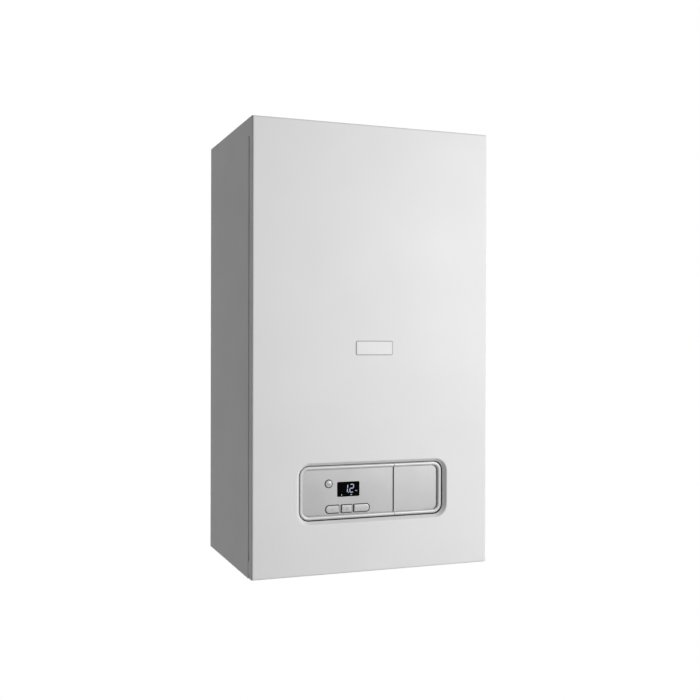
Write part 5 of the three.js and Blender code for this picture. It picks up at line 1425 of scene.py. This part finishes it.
def gas_valve():
    work = Work()
    y = -118
    work.box(-26, 44, y - 32, y + 32, 200.2, 258.2, CAST, 1.6, 5)
    work.box(-24, 42, y - 33.4, y + 33.4, 214, 217, CAST, 1, 4)
    work.box(-24, 42, y - 33.4, y + 33.4, 240, 243, CAST, 1, 4)
    work.box(-20, 4, y - 28, y + 28, 256.2, 270.2, BLACK_PLASTIC, 1.6, 3)
    for step in (-18, -6, 6, 18):
        work.box(-18, 2, y + step - 0.8, y + step + 0.8, 269.6, 270.2, GREY_PLASTIC, 0.2)
    work.turned("y", 9, 230.2, ((0, y - 44), (14.5, y - 44), (17, y - 42), (17, y - 39), (15.6,
        y - 38), (15.6, y - 36), (17, y - 35), (17, y - 31), (0, y - 31)), BLACK_PLASTIC, 0.6, 48)
    work.turned("y", 9, 230.2, ((0, y - 44.6), (5, y - 44.6), (6, y - 43.6), (0, y - 43.6)), BRASS,
        0.3, 28)
    work.nut("z", 24, y, 13, 256.2, 268, BRASS)
    bolts_at(work, "y", [(px, y - 32.4, pz) for px in (-20, 38) for pz in (207, 251)], 3, 2,
        flip=True)
    work.piece("gas_valve_body", "root", "cast_aluminium", "gas_valve")


# ---- Pipes -----------------------------------------------------------------------------

TAIL_Y = -100  # the pipe ends below the boiler stand in one row
HOT_X, COLD_X = -70, 70
HEADER_Y = -151.5  # the heat exchanger's water ports
FLOW_SPOT = (-136.3, -111.5)  # the pipes' sockets on the water blocks, in X and Y
RETURN_SPOT = (150.3, -99.5)
VESSEL_SPOT = (110.3, -59.5)
STEM_SPOT = (-116.3, -55.5)
TRAP_SPOT = (-178, -59.5)
DRAIN_SPOT = (-60, -111.5)


def gas_pipes():
    upper = Work()
    y = -118
    upper.tube([(24, y, 268.5), (24, y, 312.2), (FAN_X, -211.5, 312.2), (FAN_X, -211.5, 565.7)], 8,
        COPPER, 20, 1, 32, 12)
    upper.nut("z", FAN_X, -211.5, 10.5, 552, 563, BRASS)
    beads(upper, "z", 24, y, 8, [276], COPPER)
    upper.piece("gas_pipe_upper_bend", "root", "copper", "gas_pipe_upper")

    lower = Work()
    lower.turned("z", 0, TAIL_Y, ((7, 10), (8.6, 10), (9, 10.6), (9, 186), (8, 188), (8, 200), (7,
        200)), COPPER, 0.3, 36, closed=True)
    for low, high in ((186.2, 198.2), (18, 32)):
        lower.nut("z", 0, TAIL_Y, 13, low, high, BRASS)
    lower.box(-5, 5, -103.5, -96.5, 36, 50, BRASS, 1.2)
    lower.turned("x", TAIL_Y, 43, [(0, 9), (3.4, 9), (3.4, 12), (0, 12)], BRASS, 0.5, 24)
    lower.box(10.5, 12.5, -110, -98, 40.5, 45.5, YELLOW_PLASTIC, 0.8, 1.5)
    lower.piece("gas_pipe_lower_run", "root", "copper", "gas_pipe_lower")


def water_pipes():
    flow = Work()
    flow.tube([(-158.3, HEADER_Y, 500), (-182, HEADER_Y, 500), (-182, HEADER_Y, 220.2), (*FLOW_SPOT,
        188.2), (*FLOW_SPOT, 150.5)], 9, COPPER, 19.8, 1, 32, 12)
    flow.nut("z", *FLOW_SPOT, 13, 151, 163, BRASS)
    beads(flow, "z", -182, HEADER_Y, 9, [300, 440], COPPER, 1)
    flow.piece("flow_pipe_bend", "root", "copper", "flow_pipe")

    back = Work()
    back.tube([(*RETURN_SPOT, 150.5), (*RETURN_SPOT, 377), (30, HEADER_Y, 377), (30, HEADER_Y,
        426.7)], 9, COPPER, 19.8, 1, 32, 12)
    back.nut("z", *RETURN_SPOT, 13, 151, 163, BRASS)
    back.nut("z", 30, HEADER_Y, 13, 412, 424, BRASS)
    back.piece("return_pipe_bend", "root", "copper", "return_pipe")

    small = Work()
    middle = -43
    small.tube([(0, middle, 296.7), (0, middle, 230.2), (*VESSEL_SPOT, 190.2), (*VESSEL_SPOT,
        150.5)], 6, COPPER, 16, 1, 24, 12)
    small.nut("z", *VESSEL_SPOT, 9, 151, 161, BRASS)
    small.nut("z", 0, middle, 9, 285, 295.6, BRASS)
    small.piece("vessel_pipe_bend", "root", "copper", "vessel_pipe")

    hot = Work()
    hot.tube([(HOT_X, -48.5, 94.9), (HOT_X, -48.5, 80.2), (HOT_X, TAIL_Y, 80.2), (HOT_X, TAIL_Y,
        10)], 8, COPPER, 13, 1, 32, 12)
    hot.nut("z", HOT_X, TAIL_Y, 13, 16, 30, BRASS)
    hot.piece("hot_water_pipe_bend", "root", "copper", "hot_water_pipe")

    cold = Work()
    cold.turned("z", COLD_X, TAIL_Y, ((7, 10), (7.6, 10), (8, 10.5), (8, 98.9), (7, 98.9)), COPPER,
        0.3, 36, closed=True)
    cold.nut("z", COLD_X, TAIL_Y, 13, 16, 30, BRASS)
    cold.nut("z", COLD_X, TAIL_Y, 12, 87.2, 97.9, BRASS)
    cold.piece("cold_water_pipe_run", "root", "copper", "cold_water_pipe")


def pipe_tail(work, x):
    """A threaded tail with its nut, standing out below the bottom plate."""
    work.turned("z", x, TAIL_Y, ((8, 10), (10.2, 10), (11, 11), (11, 60), (12.4, 61.2), (12.4, 67),
        (8, 67)), BRASS, 0.4, 40, closed=True)
    thread = Work()
    thread.turned("z", 0, 0, ((10.2, -0.6), (11.25, -0.1), (11.25, 0.1), (10.2, 0.6)), BRASS, 0.05,
        40)
    work.take(copies(ROW, thread, BRASS, Count=5, Start=(x, TAIL_Y, 34), Step=(0, 0, 1.5)))
    work.nut("z", x, TAIL_Y, 16, 16, 32, BRASS)


# ---- Water blocks ------------------------------------------------------------------------

def plate_stack():
    """The brazed plates: thin pans nested on one another between two end plates."""
    work = Work()
    pan = Work()
    outline = rectangle(-89.6, 89.6, 95.6, 169.8, 12, 6)
    pan.shell([[Vector((a, y, b)) for a, b in outline(inset)] for inset, y in ((3, 0), (0.5, 0.3),
        (0, 0.8), (0, 1.6), (0.9, 2.1), (1.6, 2.35))], STEEL)
    work.take(copies(ROW, pan, STEEL, Count=20, Start=(0, -72, 0), Step=(0, 2.34, 0)))
    for y in (-73.5, -25.2):
        work.prism("y", outline, y, y + 1.7, STEEL, 0.5)
    for x in (-70, 70):
        for z in (113, 152):
            work.turned("y", x, z, ((0, -74.9), (9.6, -74.9), (10.4, -74.2), (10.4, -73), (0, -73)),
                STEEL, 0.3, 36)
    work.piece("plate_heat_exchanger_stack", "root", "steel", "plate_heat_exchanger")


def moulded_block(work, x0, x1, step_x0, step_x1, step_y0, step_y1, low_top):
    """A moulded plastic block with stiffening ribs on its front and side faces."""
    work.box(x0, x1, -139.5, -29.5, 63.2, low_top, BLACK_PLASTIC, 2, 4)
    work.box(step_x0, step_x1, step_y0, step_y1, low_top - 2, 150.2, BLACK_PLASTIC, 2, 5)
    for z in (74, 92, 110, 128):
        work.box(x0 - 0.05, x1 + 0.05, -139.7, -29.3, z, z + 2, BLACK_PLASTIC, 0.7, 4)


def diverter():
    body = Work()
    moulded_block(body, -156.3, -90.3, -150.3, -94.3, -131.5, -33.5, 138.2)
    pipe_tail(body, -135)
    for x, z in ((-150, 70), (-97, 70), (-150, 132), (-97, 132)):
        bolts_at(body, "y", [(x, -139.6, z)], 3.2, 2.2, flip=True)
    body.hollow("z", disc(*FLOW_SPOT, 13), disc(*FLOW_SPOT, 8), 148, 150.4, BRASS)
    body.turned("x", -84, 108, [(0, -160), (15, -160), (16.5, -158.5), (16.5, -156), (0, -156)],
        BLACK_PLASTIC, 0.6, 40)
    body.piece("diverter_block", "root", "black_plastic", "diverter_body")

    stem = Work()
    stem.turned("z", *STEM_SPOT, ((0, 112.2), (2.2, 112.2), (3, 113), (3, 150.8), (6, 150.9), (6,
        152.7), (3, 152.8), (3, 156), (2.2, 156.4), (2.2, 157.6), (3, 158), (3, 170.4), (2.2,
        171.2), (0, 171.2)), BRASS, 0.2, 32)
    stem.piece("diverter_stem_rod", "diverter_stem", "brass", "diverter_stem")

    motor = Work()
    case = Work()
    case.box(-135.3, -99.3, -75.5, -35.5, 159.2, 201.2, GREY_PLASTIC, 1.6, 4)
    stem_well = Work()
    stem_well.prism("z", disc(*STEM_SPOT, 3.6, 32), 155, 179, BLACK_PLASTIC, 0.01, 1)
    motor.take(carved(case, [stem_well], 0.2))
    motor.box(-134.5, -100.1, -76.2, -34.8, 180, 182, GREY_PLASTIC, 0.6, 4)
    for x0 in (-135.3, -105.3):
        motor.box(x0, x0 + 6, -63.5, -47.5, 150.2, 160.2, GREY_PLASTIC, 0.8)
    motor.turned("z", *STEM_SPOT, ((0, 200), (11, 200), (11, 202.4), (9.6, 203.2), (0, 203.2)),
        BLACK_PLASTIC, 0.4, 36)
    motor.box(-126, -108, -80.5, -75, 182, 192, BLACK_PLASTIC, 0.8)
    bolts_at(motor, "z", [(x, y, 201.2) for x in (-131, -103.5) for y in (-71, -40)], 2.2, 1.4)
    motor.piece("diverter_motor_case", "root", "grey_plastic", "diverter_motor")


def knob(name, body, slot, surface, x, z, radius, back, front):
    """A three-lobed hand knob with a dished face."""
    work = Work()
    grip = lobes(x, z, radius, 3, radius * 0.24, math.radians(90), 108)
    rings = ((radius * 0.12, back), (0, back - 1), (0, front + 1.6), (0.5, front + 0.6), (1.6,
        front), (radius * 0.35, front + 0.3), (radius * 0.45, front + 1.4), (radius * 0.62,
        front + 1.5))
    work.shell([[spot("y", a, b, y) for a, b in grip(inset)] for inset, y in rings], surface)
    work.turned("y", x, z, ((0, back + 0.2), (radius * 0.5, back + 0.2), (radius * 0.5, back - 3),
        (0, back - 3)), surface, 0.3, 36)
    work.piece(name + "_grip", body, slot, name, crease=50)


def filling_and_relief():
    fill = Work()
    fill.turned("y", -126.3, 87.2, ((0, -161.5), (6.6, -161.5), (7, -156), (10, -155), (10, -150),
        (9, -149), (9, -141), (12.6, -140.6), (12.6, -139.5), (0, -139.5)), BRASS, 0.5, 48)
    fill.nut("y", -126.3, 87.2, 13, -149.5, -143.5, BRASS)
    fill.piece("filling_valve_body", "root", "brass", "filling_valve")
    knob("filling_knob", "filling_knob", "blue_plastic", BLUE_PLASTIC, -126.3, 87.2, 15, -161.8,
        -177.5)

    relief = Work()
    relief.turned("y", 104, 77.2, ((0, -165.5), (6, -165.5), (6.6, -160), (9, -158.6), (9, -152),
        (8, -151), (8, -142), (9, -141), (9, -139.5), (0, -139.5)), BRASS, 0.5, 40)
    relief.nut("y", 104, 77.2, 10.4, -149, -143.6, BRASS)
    relief.turned("z", 104, -154.5, ((5, 14), (6.4, 14), (7, 14.6), (7, 22), (6.2, 22.8), (6.2, 66),
        (7, 67), (7, 76), (5, 76)), BRASS, 0.4, 36, closed=True)
    relief.piece("relief_valve_body", "root", "brass", "relief_valve")
    knob("relief_knob", "relief_knob", "red_plastic", RED_PLASTIC, 104, 77.2, 11, -165.8, -179.5)


PUMP_X, PUMP_Z = 144.3, 113.2
VENT_X, VENT_Y = 116.3, -113.5  # the air vent on the pump's block


def pump():
    body = Work()
    moulded_block(body, 90.3, 176.3, 94.3, 170.3, -133.5, -35.5, 136.2)
    pipe_tail(body, 135)
    body.turned("z", VENT_X, VENT_Y, ((0, 148), (14, 148), (14, 150.4), (12.6, 151.4), (12.6, 184),
        (14, 185), (14, 188.6), (12, 190.2), (6, 190.2), (6, 192.4), (4.6, 193), (4.6, 196.6), (6,
        197.2), (5, 198.2), (0, 198.2)), BLACK_PLASTIC, 0.5, 48)
    body.hollow("z", disc(*RETURN_SPOT, 13), disc(*RETURN_SPOT, 8), 148, 150.4, BRASS)
    for x, z in ((96, 70), (170, 70), (96, 130), (170, 130)):
        bolts_at(body, "y", [(x, -139.6, z)], 3.2, 2.2, flip=True)
    body.piece("pump_block", "root", "black_plastic", "pump_housing")

    wheel = Work()
    wheel.turned("y", PUMP_X, PUMP_Z, ((0, -161.5), (4, -161.5), (4, -136.6), (8, -136.4), (8,
        -127.6), (25.4, -127.5), (26, -126.6), (25.4, -125.5), (0, -125.5)), BLACK_PLASTIC, 0.3, 48)
    blade = Work()
    blade.shell([[Vector(((9 + 16 * t) * math.cos(0.7 * t),
        ((9 + 16 * t) * math.sin(0.7 * t) + side * 0.8), h)) for side, t in [(1,
        k / 6) for k in range(7)] + [(-1, k / 6) for k in range(6, -1, -1)]] for h in (-4.4, 4.6)],
        BLACK_PLASTIC)
    wheel.take(spun(blade, BLACK_PLASTIC, 6), place=stood("y", (PUMP_X, -131.5, PUMP_Z)))
    wheel.piece("pump_wheel", "pump_impeller", "black_plastic", "pump_impeller")

    motor = Work()
    motor.turned("y", PUMP_X, PUMP_Z, ((0, -211.3), (26, -211.4), (29, -210.4), (31, -207.5), (33,
        -206), (33, -184.6), (36, -184.4), (38, -182.6), (38, -141), (36.6, -139.5), (4.4, -139.5),
        (4.4, -163.4), (0, -163.5)), BLACK_PLASTIC, 0.8, 64)
    motor.turned("y", PUMP_X, PUMP_Z, ((0, -212.3), (7.5, -212.3), (8.5, -211.6), (8.5, -210.6), (0,
        -210.6)), BRASS, 0.3, 36)
    fin = Work()
    fin.block((32, -0.7, 0), (34.6, 0.7, 19), BLACK_PLASTIC, 0.4)
    motor.take(spun(fin, BLACK_PLASTIC, 32), place=stood("y", (PUMP_X, -205, PUMP_Z)))
    motor.box(126.3, 162.3, -205.5, -143.5, 143.2, 161.2, BLACK_PLASTIC, 1.6, 3)
    motor.box(128.3, 160.3, -203.5, -145.5, 160.8, 161.7, GREY_PLASTIC, 0.4, 2)
    ring_of_bolts(motor, "y", (PUMP_X, -182.6, PUMP_Z), 34.6, 4, 2.6, 2, 0.78, flip=True)
    motor.piece("pump_motor_case", "root", "black_plastic", "pump_motor")


def flow_sensor():
    work = Work()
    work.turned("z", COLD_X, TAIL_Y, ((0, 99.2), (12, 99.2), (13, 100.2), (13, 105), (11.8, 106),
        (11.8, 122), (13, 123), (13, 142), (12, 143.2), (0, 143.2)), BLACK_PLASTIC, 0.5, 48)
    work.turned("y", COLD_X, 133.2, ((0, -99), (9, -99), (9, -80), (10.4, -79), (10.4, -73.9), (0,
        -73.9)), BLACK_PLASTIC, 0.5, 36)
    work.box(61, 79, -122, -108, 111.2, 131.2, BLACK_PLASTIC, 1)
    work.box(64, 76, -123, -121, 114, 124, GREY_PLASTIC, 0.5)
    work.piece("flow_sensor_case", "root", "black_plastic", "flow_sensor")


VESSEL_Z = 470


def expansion_vessel():
    work = Work()
    work.turned("y", 0, VESSEL_Z, ((0, -70.5), (60, -70.3), (118, -69.4), (142, -66.6), (154, -62),
        (160, -55.5), (161, -50), (161, -46.2), (164, -45.6), (165, -44.4), (165, -41.6), (164,
        -40.4), (161, -39.8), (161, -35), (160, -30), (154, -23.6), (142, -18.8), (118, -16.6), (60,
        -15.7), (0, -15.5)), RED_PAINT, 2.5, 96)
    work.turned("y", 0, VESSEL_Z, ((0, -16), (16, -16), (16, -11.8), (14, -11.5), (0, -11.5)),
        STEEL, 0.6, 36)
    work.turned("z", 0, -43, ((5, 297), (9.2, 297), (10, 297.8), (10, 312), (5, 312)), BRASS, 0.4,
        36, closed=True)
    work.turned("y", 60, 560, ((0, -76.5), (4.2, -76.5), (5, -75.8), (5, -71), (7.5, -70.6), (7.5,
        -68), (0, -68)), BLACK_PLASTIC, 0.4, 28)
    work.piece("expansion_vessel_drum", "root", "red_paint", "expansion_vessel")


def trap_and_hose():
    trap = Work()
    trap.turned("z", *TRAP_SPOT, ((7, 14), (8.6, 14), (9.5, 15), (9.5, 40), (8.4, 41), (9.5, 42),
        (9.5, 62.2), (18.6, 63.2), (20, 64.6), (20, 80), (18.6, 81), (18.6, 168), (20, 169), (20,
        181), (18.4, 183), (12, 185), (12, 199), (11, 203.2), (7, 203.2), (7, 184)), GREY_PLASTIC,
        0.6, 56, closed=True)
    grip = Work()
    grip.block((17.4, -0.8, 0), (19.8, 0.8, 84), GREY_PLASTIC, 0.5)
    trap.take(spun(grip, GREY_PLASTIC, 16), place=Matrix.Translation((*TRAP_SPOT, 83)))
    trap.piece("condensate_trap_cup", "root", "grey_plastic", "condensate_trap")

    route = bpy.data.curves.new("hose_route", "CURVE")
    route.dimensions = "3D"
    points, _ = bent_route([(*DRAIN_SPOT, 404), (*DRAIN_SPOT, 300), (*TRAP_SPOT, 250), (*TRAP_SPOT,
        204)], 26, 12)
    line = route.splines.new("POLY")
    line.points.add(len(points) - 1)
    for station, point in zip(line.points, points):
        station.co = (*point, 1)
    guide = helper(route)
    hose = Work()
    hose.take(grown(HOSE, Route=guide, Finish=GREY_PLASTIC, Radius=8.2, Rib=0.8, Pitch=4))
    bpy.data.objects.remove(guide)
    for foot, low, high in ((DRAIN_SPOT, 389, 404), (TRAP_SPOT, 203.4, 218)):
        hose.turned("z", *foot, ((7, low), (9.4, low), (9.6, low + 1), (9.6, high - 1), (9.4, high),
            (7, high)), BLACK_PLASTIC, 0.4, 36, closed=True)
    hose.piece("condensate_hose_ribbed", "root", "grey_plastic", "condensate_hose", crease=60)


# ---- Control box -----------------------------------------------------------------------

def control_box():
    """The moulded tray that carries the fascia, with its hinge pins and board pillars."""
    tray = Work()
    outer = rectangle(-185, 185, 77.5, 195.5, 4, 5)
    front, back = -284.2, -227.7
    wall = 2
    rings = ((0.5, back), (0, back - 0.5), (0, front + 1.2), (0.35, front + 0.35), (1.2, front))
    shell = [[Vector((a, y, b)) for a, b in outer(inset)] for inset, y in rings]
    tray.shell(shell, BLACK_PLASTIC)
    hollow = Work()
    hollow.prism("y", rectangle(-183, 183, 79.5, 193.5, 2.5, 5), front + wall, back + 5,
        BLACK_PLASTIC, 0.4, 2)
    bay = Work()
    bay.prism("y", rectangle(53.5, 113.5, 116.5, 150.5, 2, 4), front - 5, front + 5, BLACK_PLASTIC,
        0.1, 1)
    work = Work()
    work.take(carved(tray, [hollow, bay], 0.25))
    for hand in (-1, 1):
        work.turned("x", -274.2, 85.5, [(0, hand * 184), (6, hand * 184), (6, hand * 186.4), (4,
            hand * 186.6), (4, hand * 190.8), (3.3, hand * 191.5), (0, hand * 191.5)],
            BLACK_PLASTIC, 0.4, 32)
        for z in (98.5, 174.5):
            work.turned("y", hand * 120, z, ((0, -283), (4.4, -283), (3.2, -281), (3, -268.2), (0,
                -268.2)), BLACK_PLASTIC, 0.3, 24)
    for z, turn in ((195.3, 0), (77.7, math.pi)):
        place = Matrix.Translation((0, -281, z)) @ Matrix.Rotation(turn, 4, "Y")
        work.take(copies(ROW, rib_copy(), BLACK_PLASTIC, Count=18, Start=(-170, 0, 0), Step=(20, 0,
            0)), place=place)
    work.piece("control_box_tray", "control_box", "black_plastic", "control_box")


def rib_copy():
    rib = Work()
    rib.block((-0.8, 0, -0.4), (0.8, 50, 0.2), BLACK_PLASTIC, 0.1)
    return rib


def control_box_cover():
    work = Work()
    outer = rectangle(-185, 185, 77.5, 195.5, 4, 5)
    work.prism("y", outer, -227.7, -226.2, BLACK_PLASTIC, 0.4)
    inner = rectangle(-182.7, 182.7, 79.8, 193.2, 2, 5)
    core = rectangle(-181, 181, 81.5, 191.5, 1.5, 5)
    work.hollow("y", inner, core, -232.2, -226.8, BLACK_PLASTIC, 0.3)
    for x in (-110, 0, 110):
        work.take(copies(ROW, slat_copy(), BLACK_PLASTIC, Count=12, Start=(x, -226.3, 110), Step=(0,
            0, 5)))
    for x in (-176, 176):
        for z in (86, 187):
            bolts_at(work, "y", [(x, -226.6, z)], 2.2, 0.3)
    work.piece("control_box_cover_plate", "control_box", "black_plastic", "control_box_cover")


def slat_copy():
    slat = Work()
    slat.block((-32, -0.3, -1.1), (32, 0.4, 1.1), BLACK_PLASTIC, 0.25)
    return slat


def circuit_board():
    """The green board with its transformer, relays, terminals and small parts."""
    work = Work()
    back = -266.6
    work.box(-150, 150, -268.2, back, 85.5, 187.5, BOARD, 0.2, 2)
    work.box(62, 98, back, -238.5, 107.5, 142.5, BLACK_PLASTIC, 1, 2)
    for y in (-262, -257, -252, -247, -242):
        work.box(60.2, 99.8, y, y + 3.4, 110, 140, STEEL, 0.4, 1)
    for x in (-20, 10):
        work.box(x, x + 20, back, -251.4, 117.5, 147.5, BLUE_PLASTIC, 0.8)
    work.box(-140, -60, back, -256, 91.5, 103.5, GREY_PLASTIC, 0.6)
    pole = Work()
    pole.block((-3, 0, -5), (3, 2, 5), BLACK_PLASTIC, 0.4)
    work.take(copies(ROW, pole, BLACK_PLASTIC, Count=10, Start=(-136, -256, 97.5), Step=(8, 0, 0)))
    screw = Work()
    screw.turned("y", 0, 0, [(0, 0), (1.8, 0), (1.8, 1), (0, 1)], STEEL, 0.2, 16)
    work.take(copies(ROW, screw, STEEL, Count=10, Start=(-136, -254.2, 97.5), Step=(8, 0, 0)))
    for x, z, radius, high in ((-45, 165, 6, 18), (-65, 160, 5, 14), (-80, 168, 4, 11),
                               (40, 160, 5, 16), (52, 170, 4, 12), (120, 120, 6, 20)):
        work.turned("y", x, z, ((0, back), (radius, back), (radius, back + high), (radius * 0.8,
            back + high + 0.4), (0, back + high)), BLACK_PLASTIC, 0.4, 28)
    for x, z, wide, tall in ((-120, 140, 18, 18), (-90, 130, 10, 14), (-50, 128, 14, 8),
                             (115, 160, 20, 10), (130, 100, 12, 16)):
        work.box(x, x + wide, back, back + 2.2, z, z + tall, BLACK_PLASTIC, 0.3)
    for x, z, count, step in ((-140, 125, 8, 5), (-135, 172, 9, 6), (-40, 108, 10, 5),
                              (20, 172, 6, 5), (110, 145, 7, 5), (-100, 118, 6, 4)):
        work.take(copies(ROW, copied_part(), CERAMIC, Count=count, Start=(x, back, z), Step=(step,
            0, 0)))
    for x in (-146, 146):
        for z in (90, 183):
            bolts_at(work, "y", [(x, back, z)], 2.2, 1.2)
    work.piece("circuit_board_made", "control_box", "board_green", "circuit_board")


def copied_part():
    part = Work()
    part.block((-1.2, 0, -0.6), (1.2, 0.8, 0.6), CERAMIC, 0.15)
    return part


def cable_gland():
    work = Work()
    x, y = -40, -180
    work.turned("z", x, y, ((4.5, 42), (7, 42), (8.6, 43.4), (9.8, 46), (9.8, 54.6), (8, 55.4), (8,
        68), (4.5, 68)), BLACK_PLASTIC, 0.5, 40, closed=True)
    ridge = Work()
    ridge.block((9.2, -0.6, 0), (10.1, 0.6, 8.4), BLACK_PLASTIC, 0.3)
    work.take(spun(ridge, BLACK_PLASTIC, 18), place=Matrix.Translation((x, y, 46)))
    for low, high in ((55, 62), (63.2, 68.2)):
        work.nut("z", x, y, 12, low + 0.3, high - 0.3, BLACK_PLASTIC)
    work.piece("cable_gland_body", "root", "black_plastic", "cable_gland")


# ---- Sheet parts kept from the frame -------------------------------------------------------

def kept(node, surface, width):
    """A part whose shape stays: its edges are eased and it gets its finish."""
    made = bpy.data.objects[node]
    made.data.materials.clear()
    made.data.materials.append(surface)
    weld = made.modifiers.new("weld", "WELD")
    weld.merge_threshold = 0.02 * MM
    ease = made.modifiers.new("eased_edges", "BEVEL")
    ease.width = width
    ease.segments = 2
    ease.limit_method = "ANGLE"
    ease.angle_limit = math.radians(40)
    ease.harden_normals = True


flue()
heat_exchanger()
burner_door()
burner_tube()
electrode_and_glass()
fan()
venturi()
gas_valve()
gas_pipes()
water_pipes()
plate_stack()
diverter()
filling_and_relief()
pump()
flow_sensor()
expansion_vessel()
trap_and_hose()
control_box()
control_box_cover()
circuit_board()
cable_gland()
for kept_node, kept_surface, kept_width in (
        ("hanging_bracket", ZINC, 0.3 * MM), ("back_frame", ZINC, 0.3 * MM),
        ("lower_rail", ZINC, 0.3 * MM), ("bottom_plate", ZINC, 0.3 * MM),
        ("top_plate", WHITE_PAINT, 0.4 * MM), ("front_seal", RUBBER, 0.6 * MM),
        ("door_gasket", FIBRE, 0.4 * MM), ("flue_gasket", RUBBER, 0.4 * MM)):
    kept(kept_node, kept_surface, kept_width)
